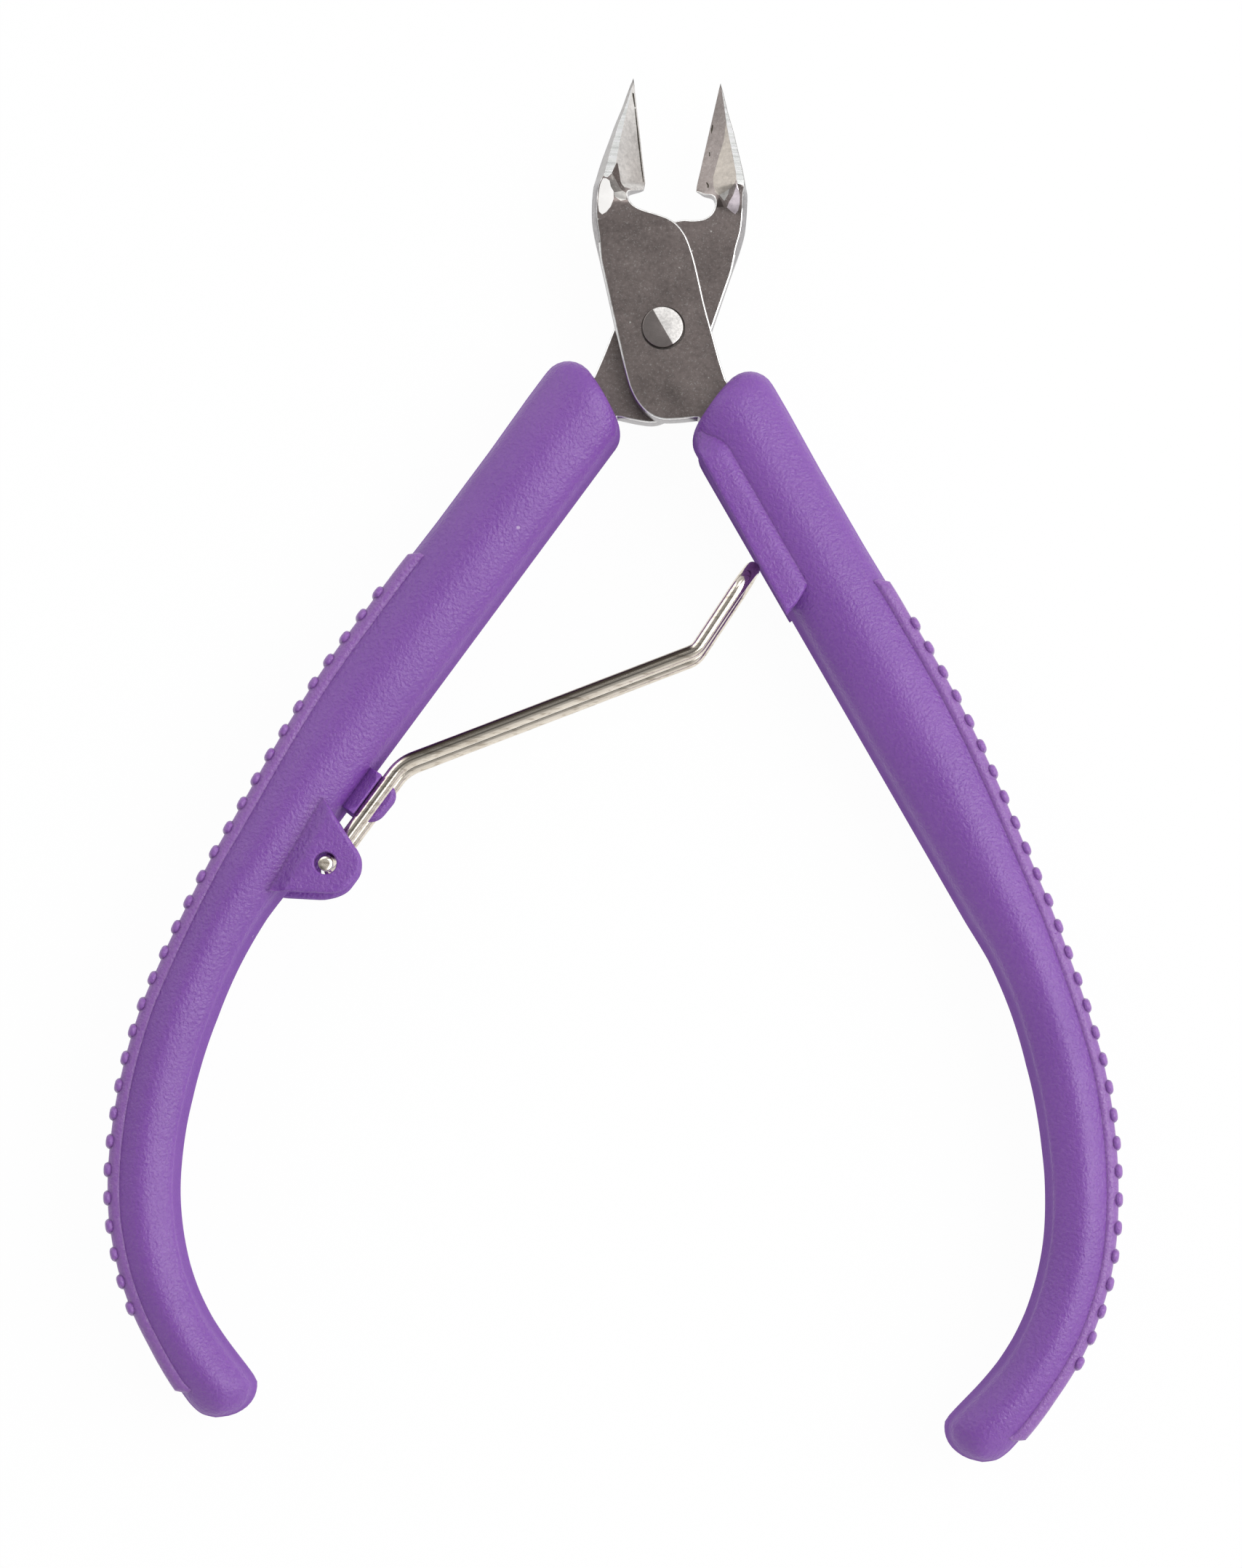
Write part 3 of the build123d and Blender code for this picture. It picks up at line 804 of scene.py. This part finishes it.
# ---- grips ----
# Grips are drawn on the right. Each ring joins a place on the inner side to one on the
# outer side, from the slanted upper end to the rounded lower end.
def corner_arc(corner, before, after, radius, steps):
    """Points of the rounding of a corner, from the side of `before` to that of `after`."""
    corner = Vector(corner)
    a, b = (Vector(before) - corner).normalized(), (Vector(after) - corner).normalized()
    half = a.angle(b) / 2
    centre = (a + b).normalized() * (radius / sin(half))
    start, end = a * (radius / tan(half)) - centre, b * (radius / tan(half)) - centre
    swing = start.angle(end)
    side = (end - start * cos(swing)).normalized() * radius
    turns = [swing * i / steps for i in range(steps + 1)]
    return [tuple(corner + centre + start * cos(t) + side * sin(t)) for t in turns]


def grip_rings():
    """(inner point, outer point, half thickness, distance along) of each ring of a grip."""
    nose = toward(nose_top, nose_low, 0.5)
    low = corner_arc(nose_low, nose, grip_point(6), nose_low_r, 8)
    top = corner_arc(nose_top, nose, grip_point(6, grip_width(6)), nose_top_r, 8)
    rings = []
    for t in spread(0.02, 1, 6)[:-1]:
        rings.append((toward(nose, low[0], t), toward(nose, top[0], t), (half_t - nose_rim) * t, -3.0))
    for i in range(9):
        rings.append((low[i], top[i], half_t - nose_rim * (1 - sin(pi / 2 * i / 8)), -1.5 + i * 0.2))

    # the upper end is slanted, so the outer side starts further up than the inner one
    face_way = Vector((sin(face_angle), -cos(face_angle)))
    start_in = (Vector(low[-1]) - Vector((face_x, face_y))).dot(face_way)
    start_out = -dist(top[-1], grip_point(0, grip_w))
    slant_end, end = 25.6, grip_len - 1.6
    for a_in in spread(start_in, end, 150)[1:]:
        a_out = a_in + (start_out - start_in) * (1 - ease(a_in, start_in, slant_end))
        inner, outer = grip_point(a_in, grip_inner(a_in)), grip_point(a_out, grip_outer(a_out))
        rings.append((inner, outer, half_t, a_in))

    # the rounded lower end
    inner = curve_through([
        grip_point(end, grip_inner(end)), (31, -96.75), (30.82, -97.7), (31, -98.55),
        (31.6, -99.4), (32.7, -100.1), (34.2, -100.42)], 0.42)
    outer = curve_through([
        grip_point(end, grip_outer(end)), (37.56, -98.1), (37.04, -98.75), (36.45, -99.42),
        (35.52, -100.12), (34.2, -100.42)], 0.42)
    for t in spread(0, 1, 16)[1:]:
        pair = []
        for line in (inner, outer):
            place = t * (len(line) - 1)
            k = min(int(place), len(line) - 2)
            pair.append(toward(line[k], line[k + 1], 0.92 if t == 1 else place - k))
        rings.append((*pair, half_t * sqrt(1 - (t * 0.985) ** 2.3) + 0.02, grip_len + t))
    return rings


soft_side = [
    (-1, 0), (-0.995, 0.17), (-0.98, 0.33), (-0.955, 0.45), (-0.92, 0.55), (-0.87, 0.64), (-0.8, 0.72),
    (-0.7, 0.79), (-0.58, 0.85), (-0.45, 0.905), (-0.32, 0.95), (-0.2, 0.98), (-0.1, 0.994), (0, 1)]
firm_side = [
    (-1, 0), (-0.985, 0.15), (-0.965, 0.3), (-0.94, 0.45), (-0.915, 0.58), (-0.89, 0.68),
    (-0.855, 0.75), (-0.79, 0.79), (-0.7, 0.83), (-0.58, 0.875), (-0.45, 0.915), (-0.3, 0.955),
    (-0.15, 0.985), (0, 1)]


def grip_section(crease):
    """Half outline of a grip from its inner side over the front to its outer side, as
    (-1 to 1 across, 0 to 1 out). The inner side has a firm corner where crease is 1."""
    inner = [toward(p, q, crease) for p, q in zip(soft_side, firm_side)]
    return inner + [(-x, z) for x, z in reversed(soft_side[:-1])]


def build_grip():
    """The right grip, without its land."""
    rings = []
    for inner, outer, thick, along in grip_rings():
        half = grip_section(clamp(ease(along, 46, 66) - ease(along, 84, 92)))
        closed = half + [(x, -z) for x, z in reversed(half[1:-1])]
        mid = toward(inner, outer, 0.5)
        reach = ((outer[0] - inner[0]) / 2, (outer[1] - inner[1]) / 2)
        rings.append([(mid[0] + reach[0] * x, mid[1] + reach[1] * x, thick * z) for x, z in closed])
    return Shell().loft(rings, ends=True).righted()


def prism(line, low, high, rim, hole=None, grid=()):
    """A rounded plate standing between two heights, with a hole through it if asked."""
    shell = Shell()
    line = leftward(line)
    normals = [outward(line, k) for k in range(len(line))]
    rings = [[(x - i * nx, y - i * ny, z) for (x, y), (nx, ny) in zip(line, normals)]
             for i, z in round_rim(rim, high, 1) + round_rim(rim, low, -1)[::-1]]
    shell.loft(rings)
    mouth = []
    if hole:
        (x, y), radius = hole
        lip = 0.15
        steps = [(circle(x, y, radius + g, 40), lip * (1 - sin(pi / 2 * g / lip)))
                 for g in (lip, 0.09, 0.04, 0.0)]
        levels = [(c, high - d) for c, d in steps] + [(c, low + d) for c, d in reversed(steps)]
        shell.loft([[(*p, z) for p in c] for c, z in levels], flip=True)
        mouth = [steps[0][0]]
    for ring, way in ((rings[0], 1), (rings[-1], -1)):
        flat = [p[:2] for p in ring]
        inner = [p for p in grid if within(p, flat, 0.12) and all(far(p, c, 0.12) for c in mouth)]
        found, made, home, _ = fill(flat, inner, (), mouth)
        kept = [f[::way] for f, where in zip(made, home) if 1 not in where]
        shell.add([(p.x, p.y, ring[0][2]) for p in found], kept)
    return shell


def rounded(corners, radii, steps):
    """Closed line through corners, each with its own rounding."""
    line = []
    for i, (corner, radius) in enumerate(zip(corners, radii)):
        before, after = corners[i - 1], corners[(i + 1) % len(corners)]
        if radius < 0.01:
            line.append(tuple(corner))
        else:
            line += corner_arc(corner, before, after, radius, steps)
    return line


def divided(line, step):
    """The closed line with extra points on its long runs."""
    out = []
    for a, b in zip(line, line[1:] + line[:1]):
        n = max(1, ceil(dist(a, b) / step))
        out += [toward(a, b, i / n) for i in range(n)]
    return out


def left_plate(corners, radii, steps, step, *heights, **more):
    """A rounded plate on the left grip, its corners given along and out from the face."""
    line = rounded([left_point(*corner) for corner in corners], radii, steps)
    return prism(divided(line, step), *heights, **more)


def build_ears():
    """Both ears, the pad and the guide fin of the left grip."""
    corners = [(40.1, -2.7), (42.9, 4.62), (46.3, 4.62), (50.3, -1.5)]
    apex, foot = left_point(*corners[0]), left_point(*corners[-1])
    hole = (left_point(anchor_along, leg_lift), ear_hole_r)
    grid = [Vector((-33 + 0.45 * i, -56 + 0.45 * j)) for i in range(26) for j in range(30)]
    front = left_plate(corners, [0.6, 1.9, 2.2, 0.4], 8, 0.5, ear_low, ear_high, 0.34, hole=hole, grid=grid)

    # near its root the ear's face runs down into the grip's rounded front
    root = (Vector(foot) - Vector(apex)).normalized()
    points = []
    for x, y, z in front.points:
        out = abs(root.x * (y - apex[1]) - root.y * (x - apex[0]))
        skin = grip_height(x, y) - 0.12
        ramp = skin + (ear_high - skin) * ease(out, 0.2, 1.9)
        points.append((x, y, min(z, ramp) if z > 4.3 else z))
    front.points = points

    # the rear ear stands a little lower
    rear = front.reflected(z=-1)
    across = Vector(left_point(40, 1)) - Vector(left_point(40, 0))
    rear.points = [(x - across.x * drop, y - across.y * drop, z) for x, y, z in rear.points
                   for drop in [0.55 * ease(-face_depth(x, y), 2.4, 4.4)]]
    pad = left_plate([(35.6, -0.45), (35.6, 1.0), (39.95, 1.0), (39.95, -0.45)],
                     [0.0, 0.12, 0.12, 0.0], 3, 0.6, -3.875, 3.875, 0.12)
    pad.points = [(x, y, z * (0.68 + 0.32 * ease(face_depth(x, y), 0.45, -0.6))) for x, y, z in pad.points]
    fin = left_plate([(35.6, -1.5), (35.6, 2.95), (39.6, 2.75), (40.0, -1.5)],
                     [0.0, 1.3, 1.6, 0.0], 8, 0.6, -1.9, 1.9, 0.25)
    return joined(front, rear, pad, fin)


def face_depth(x, y):
    """Depth of a point behind the left grip's straight inner face."""
    return (-x - face_x) * cos(face_angle) + (y - face_y) * sin(face_angle)


def grip_height(x, y):
    """Height of the left grip's rounded front over a point near its ears."""
    along = (-x - face_x) * sin(face_angle) - (y - face_y) * cos(face_angle)
    half = grip_width(along) / 2
    across = max(face_depth(x, y), 0.25) / half - 1
    return half_t * between(min(across, 0.0), soft_side)


def build_land(lean, drift):
    """Raised land of the right grip, beside the track that the spring's loop slides in. Its
    inner wall leans over the track, by more and more along the grip."""
    profile = [(2.8, 4.0), (0.8, 3.0), (0.4, 3.0), (0.2, 3.1), (0.1, 3.4), (-0.02, 4.0), (-0.12, 4.5),
               (-0.13, 4.66), (-0.07, 4.8), (0.06, 4.88), (0.3, 4.91), (0.7, 4.93), (1.2, 4.93),
               (1.5, 4.91), (1.75, 4.85), (1.97, 4.76), (2.2, 4.63), (2.42, 4.48), (2.65, 4.3)]
    start, end = -2.2, 15.9
    rows = [(s, 1.4 * (1 - ease(s, start - 0.6, 0.6))) for s in spread(start, end, 44)]
    rows += [(end + 0.14, 0.05), (end + 0.22, 0.16), (end + 0.26, 0.5)]
    rings = []
    for s, sink in rows:
        wall = lean + drift * s + 0.8 * (1 - ease(s, -2.6, -0.5))
        skew = 0.55 * ease(s, end - 3, end)
        rings.append([(*grip_point(s - skew * max(d, 0), d + (wall if d < 0.6 else 0.0)), z - sink)
                      for d, z in profile])
    return Shell().loft(rings, flip=True, ends=True).righted()


# ---- treads ----
def strip_rise(along):
    """How much further the tread stands out once the grip has slimmed."""
    return 0.14 * ease(along, 30, 60)


def build_tread():
    """Plain strip along the outer side of the right grip, without its studs."""
    profile = [(-1.6, 3.6), (-1.32, 3.84), (-1.16, 3.95), (-1.02, 4.02), (-0.86, 4.05), (-0.6, 4.0),
               (-0.3, 3.82), (-0.06, 3.5), (0.06, 3.1), (0.1, 2.4), (0.12, 1.2)]
    closed = profile + [(0.12, 0.0)] + [(d, -z) for d, z in reversed(profile)]
    foot, end_r = 1.6, 0.9
    rings = []
    for s in spread(tread_start, strip_end, 110):
        edge = min((s - tread_start) / end_r, (strip_end - s) / end_r, 1.0)
        lift = 0.55 + 0.45 * sqrt(max(1 - (1 - edge) ** 2, 0))
        rings.append([(*grip_point(s, grip_outer(s) - foot + (d + strip_rise(s) + foot) * lift), z)
                      for d, z in closed])
    return Shell().loft(rings, flip=True, ends=True).righted()


def stud_tree():
    """Studs spaced along a line, each turned across it."""
    tree = bpy.data.node_groups.new("tread_studs", "GeometryNodeTree")
    face, maker = tree.interface, Maker(tree)
    inputs = {"Strip line": "Geometry", "Studs": "Int", "First": "Float", "Pitch": "Float",
              "Length": "Float", "Rise": "Float", "Reach": "Float", "Finish": "Material"}
    for label, kind in inputs.items():
        face.new_socket(label, in_out="INPUT", socket_type="NodeSocket" + kind)
    face.new_socket("Studs made", in_out="OUTPUT", socket_type="NodeSocketGeometry")

    def step(kind, inputs=(), output=0, **settings):
        return maker.node("GeometryNode" + kind, settings, inputs, output)

    given = maker.node("NodeGroupInput").socket.node
    value = {s.name: Value(maker, s) for s in given.outputs if s.name}
    curve = step("MeshToCurve", [value["Strip line"]])
    length = value["First"] + value["Pitch"] * step("InputIndex")
    sample = step("SampleCurve", {"Curves": curve, "Length": length}, "Position",
                  mode="LENGTH", data_type="FLOAT")
    tangent = Value(maker, sample.socket.node.outputs["Tangent"])
    points = step("Points", {"Count": value["Studs"]})
    points = step("StoreNamedAttribute", {"Geometry": points, "Name": "run", "Value": tangent},
                  data_type="FLOAT_VECTOR", domain="POINT")
    points = step("SetPosition", {"Geometry": points, "Position": sample})
    run = step("InputNamedAttribute", {"Name": "run"}, data_type="FLOAT_VECTOR")
    axes = {"axis": "X", "pivot_axis": "Z"}
    turn = maker.node("FunctionNodeAlignRotationToVector", axes, {"Vector": run})
    ball = step("MeshUVSphere", {"Segments": 20, "Rings": 12, "Radius": 1.0}, "Mesh")
    spot = maker.node("ShaderNodeSeparateXYZ", None, [step("InputPosition")]).socket.node
    full = [Value(maker, part).math("SIGN") * Value(maker, part).math("ABSOLUTE").math("POWER", power)
            for part, power in zip(spot.outputs, (0.65, 0.8, 0.45))]
    shape = maker.node("ShaderNodeCombineXYZ", None, full)
    ball = step("SetPosition", {"Geometry": ball, "Position": shape})
    size = [value["Length"] * 0.5, value["Rise"], value["Reach"]]
    size = maker.node("ShaderNodeCombineXYZ", None, size)
    stud = step("Transform", {"Geometry": ball, "Scale": size})
    made = step("InstanceOnPoints", {"Points": points, "Instance": stud, "Rotation": turn})
    made = step("SetShadeSmooth", [step("RealizeInstances", [made])])
    made = step("SetMaterial", {"Geometry": made, "Material": value["Finish"]})
    maker.node("NodeGroupOutput", None, [made])
    return tree


def studs(tree, side, finish):
    """Mesh of all the studs of one tread. side is 1 for the right grip and -1 for the left."""
    line = [grip_point(s, grip_outer(s) + strip_rise(s)) for s in spread(tread_start, tread_end, 160)]
    mesh = bpy.data.meshes.new("strip_line")
    mesh.from_pydata([put(side * x, y, 0) for x, y in line], [(i, i + 1) for i in range(160)], [])
    guide = placed("strip_line", mesh)
    modifier = guide.modifiers.new("studs", "NODES")
    modifier.node_group = tree
    sizes = {"First": stud_first, "Pitch": stud_pitch, "Length": stud_length, "Rise": stud_rise,
             "Reach": stud_reach}
    given = {"Studs": stud_count, "Finish": finish, **{name: mm / 1000 for name, mm in sizes.items()}}
    for item in tree.interface.items_tree:
        if item.in_out == "INPUT" and item.name in given:
            modifier[item.identifier] = given[item.name]
    bpy.context.view_layer.update()
    shown = guide.evaluated_get(bpy.context.evaluated_depsgraph_get())
    made = bpy.data.meshes.new_from_object(shown)
    bpy.data.objects.remove(guide)
    return made


# ---- spring ----
def wire_path():
    """Centre line of the wire, from one ear round the loop to the other."""
    up = Vector((0, 0, leg_z))
    anchor, elbow = (Vector((*left_point(along, leg_lift), 0)) for along in (anchor_along, elbow_along))
    knee_at, loop_end = Vector((*knee, 0)), Vector((*loop, 0))
    run = (loop_end - knee_at).normalized()
    mouth = loop_end - run * leg_z
    leg = [anchor + Vector((0, 0, ear_high - 0.38))]
    stops = [leg[0], anchor + up, elbow + up, knee_at + up, mouth + up]
    bends = ((1.0, 8), (4.0, 10), (2.0, 8))
    for before, corner, after, (radius, steps) in zip(stops, stops[1:], stops[2:], bends):
        leg += [Vector(p) for p in corner_arc(corner, before, after, radius, steps)]
    turn = [mouth + up * cos(pi * i / 20) + run * leg_z * sin(pi * i / 20) for i in range(21)]
    back = [Vector((p.x, p.y, -p.z)) for p in reversed(leg)]
    line = leg + turn + back
    fine = [line[0]]
    for a, b in zip(line, line[1:]):
        n = max(1, ceil((b - a).length / 1.2))
        fine += [a + (b - a) * i / n for i in range(1, n + 1)]
    return fine


def build_wire():
    """The whole spring, and how dark its painted reflection band is at each of its points."""
    line = wire_path()
    ahead = [(b - a).normalized() for a, b in zip(line, line[1:])]
    ahead = [ahead[0]] + [(a + b).normalized() for a, b in zip(ahead, ahead[1:])] + [ahead[-1]]
    caps = [(0.0, 0.5), (0.0, 0.9), (0.02, 0.96), (0.07, 1.0)]
    stations = [(line[0] + ahead[0] * g, ahead[0], wire_r * f) for g, f in caps]
    stations += [(p, a, wire_r) for p, a in zip(line[1:-1], ahead[1:-1])]
    stations += [(line[-1] - ahead[-1] * g, ahead[-1], wire_r * f) for g, f in reversed(caps)]
    side = Vector((1, 0, 0))
    rings, dark_reflection_band = [], []
    for n, (place, way, radius) in enumerate(stations):
        side = (side - way * side.dot(way)).normalized()
        other = way.cross(side)
        ring = [side * u + other * v for u, v in circle(0, 0, radius, 24)]
        at_end = n < len(caps) or n >= len(stations) - len(caps)
        tilt = 0.2 if at_end and abs(way.z) > 0.9 else 0.0
        rings.append([tuple(place + p - Vector((0, 0, tilt * (0.82 * p.x + 0.57 * p.y)))) for p in ring])
        # the painted dark reflection band, on the upper side of the front leg's straight runs
        for p in ring:
            above = (0.94 * p.y - 0.34 * p.x) / wire_r
            band = ease(above, -0.05, 0.4) * (1 - ease(above, 0.8, 1.0))
            dark_reflection_band.append(band * ease(abs(way.x), 0.7, 0.9) * (place.z > 0))
    return Shell().loft(rings, flip=True, ends=True).righted(), dark_reflection_band


# ---- camera, light and floor ----
def add_camera():
    """Looks down at the tool, leaning a little toward the handles' ends and turned a little."""
    lean, turn, far_off = radians(5.48), radians(3.3), 420
    aim = Matrix.Translation(put(-1.395, -41.646, 0))
    facing = Matrix.Rotation(turn, 4, "Z") @ Matrix.Rotation(lean, 4, "X")
    data = bpy.data.cameras.new("camera")
    data.lens, data.sensor_width = 106.6, 36
    camera = placed("camera", data)
    camera.matrix_world = aim @ facing @ Matrix.Translation((0, 0, far_off / 1000))
    bpy.context.scene.camera = camera


def add_softbox(name, azimuth, off_vertical, distance, size, radiance, colour=(1, 1, 1)):
    """A square soft light aimed at the middle of the tool."""
    lamp = bpy.data.lights.new(name, "AREA")
    lamp.shape, lamp.size = "SQUARE", size
    lamp.energy, lamp.color = radiance * pi * size * size, colour
    box = placed(name, lamp)
    a, v = radians(azimuth), radians(off_vertical)
    way = Vector((cos(a) * sin(v), sin(a) * sin(v), cos(v)))
    facing = way.to_track_quat("Z", "Y").to_matrix().to_4x4()
    box.matrix_world = Matrix.Translation(put(0, -38, 0) + way * distance) @ facing


def add_world():
    """Pale studio tent: dimmer straight overhead, brighter round the sides."""
    world = bpy.data.worlds.new("studio")
    maker = cleared(world)
    way = maker.node("ShaderNodeTexCoord", None, (), "Generated")
    parts = maker.node("ShaderNodeSeparateXYZ", None, [way]).socket.node
    x, y, z = (Value(maker, s) for s in parts.outputs)
    low = 1 - z
    side = (x * 0.5 + y * 0.866).fade(-0.6, 0.6)
    front = (z * 0.9954 - y * 0.0955).fade(0.962, 0.986)
    tone = 0.36 + low.fade(0.05, 0.4) * 0.12 + low.fade(0.45, 0.85) * (side * 0.3 + 0.04)
    tone = tone + low.fade(0.25, 0.5) * (0 - y).fade(0.25, 0.8) * 0.35
    tone = tone * (1 - front * 0.7)
    shade = maker.node("ShaderNodeCombineColor", None, [tone, tone, tone * 1.01])
    sky = maker.node("ShaderNodeBackground", None, [shade, 1.0])
    maker.node("ShaderNodeOutputWorld", None, [sky])
    bpy.context.scene.world = world


def add_floor():
    """A wide pale floor just under the grips, white wherever the eye or a mirror sees it."""
    size, drop = 1.5, -0.0002
    mesh = bpy.data.meshes.new("floor")
    corners = ((-1, -1), (1, -1), (1, 1), (-1, 1))
    mesh.from_pydata([(size * x, size * y, drop) for x, y in corners], [], [(0, 1, 2, 3)])
    floor = placed("floor", mesh)
    material = bpy.data.materials.new("pale_floor")
    maker = cleared(material)
    rays = maker.node("ShaderNodeLightPath").socket.node
    camera, glossy, through = (Value(maker, rays.outputs[f"Is {kind} Ray"])
                               for kind in ("Camera", "Glossy", "Transmission"))
    seen = (camera + glossy + through).math("MINIMUM", 1.0)
    plain = maker.node("ShaderNodeBsdfDiffuse", None, [(0.9, 0.9, 0.9, 1)])
    glow = maker.node("ShaderNodeEmission", None, [(1, 1, 1, 1), 1.0])
    both = maker.node("ShaderNodeMixShader", None, [seen * 0.97, plain, glow])
    maker.node("ShaderNodeOutputMaterial", None, [both])
    mesh.materials.append(material)


# ---- the tool ----
add_camera()
add_world()
add_floor()
add_softbox("key", 8, 44, 0.62, 0.54, 3.4)
add_softbox("back", 88, 38, 0.7, 0.26, 1.6)
add_softbox("fill", 142, 60, 0.7, 0.45, 1.3)
bpy.context.scene.view_settings.view_transform = "Standard"

steel, rivet_finish, wire_finish = blade_steel(), rivet_steel(), spring_wire()
# the treads are the grips' own plastic, painted lighter as if lit
grip_finish, tread_finish = purple_grip("moulded_grip"), purple_grip("moulded_tread_painted_lighter", 0.5)

front = build_blade(plate_gap / 2, front_notch, front_areas, front_ridge, 0.8)
tinted(front.piece("front_blade_steel", steel, "front_half", ["front_blade"], 26), front)
rear = build_blade(-plate_t - plate_gap / 2, rear_notch, rear_areas, rear_ridge, 0.25).reflected(x=-1)
tinted(rear.piece("rear_blade_steel", steel, "rear_half", ["rear_blade"], 26), rear)
rivet = build_rivet()
tinted(rivet.piece("rivet", rivet_finish, "front_half", ["pivot_rivet"], 30), rivet)

grip = build_grip()
right = joined(grip, build_land(-0.08, -0.026), build_land(0.25, 0.0).reflected(z=-1))
steepened(right.piece("right_handle_grip", grip_finish, "front_half", ["right_grip"], 40))
left = joined(grip.reflected(x=-1), build_ears())
steepened(left.piece("left_handle_grip", grip_finish, "rear_half", ["left_grip"], 40))

tree = stud_tree()
for side, word in ((1, "right"), (-1, "left")):
    strip = build_tread().reflected(x=side) if side < 0 else build_tread()
    body = "front_half" if side > 0 else "rear_half"
    piece = strip.piece(word + "_tread_strip", tread_finish, body, [word + "_tread"], 40)
    made = studs(tree, side, tread_finish)
    work = bmesh.new()
    work.from_mesh(piece.data)
    work.from_mesh(made)
    work.to_mesh(piece.data)
    work.free()

shell, dark_reflection_band = build_wire()
wire = shell.piece("return_spring", wire_finish, None, ["spring_base", "spring_arm"], 40)
write(wire, "dark_reflection_band", "FLOAT", "POINT", dark_reflection_band)
run = (Vector(knee) - Vector(left_point(elbow_along, leg_lift))).normalized().to_3d() * 0.003
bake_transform(wire)
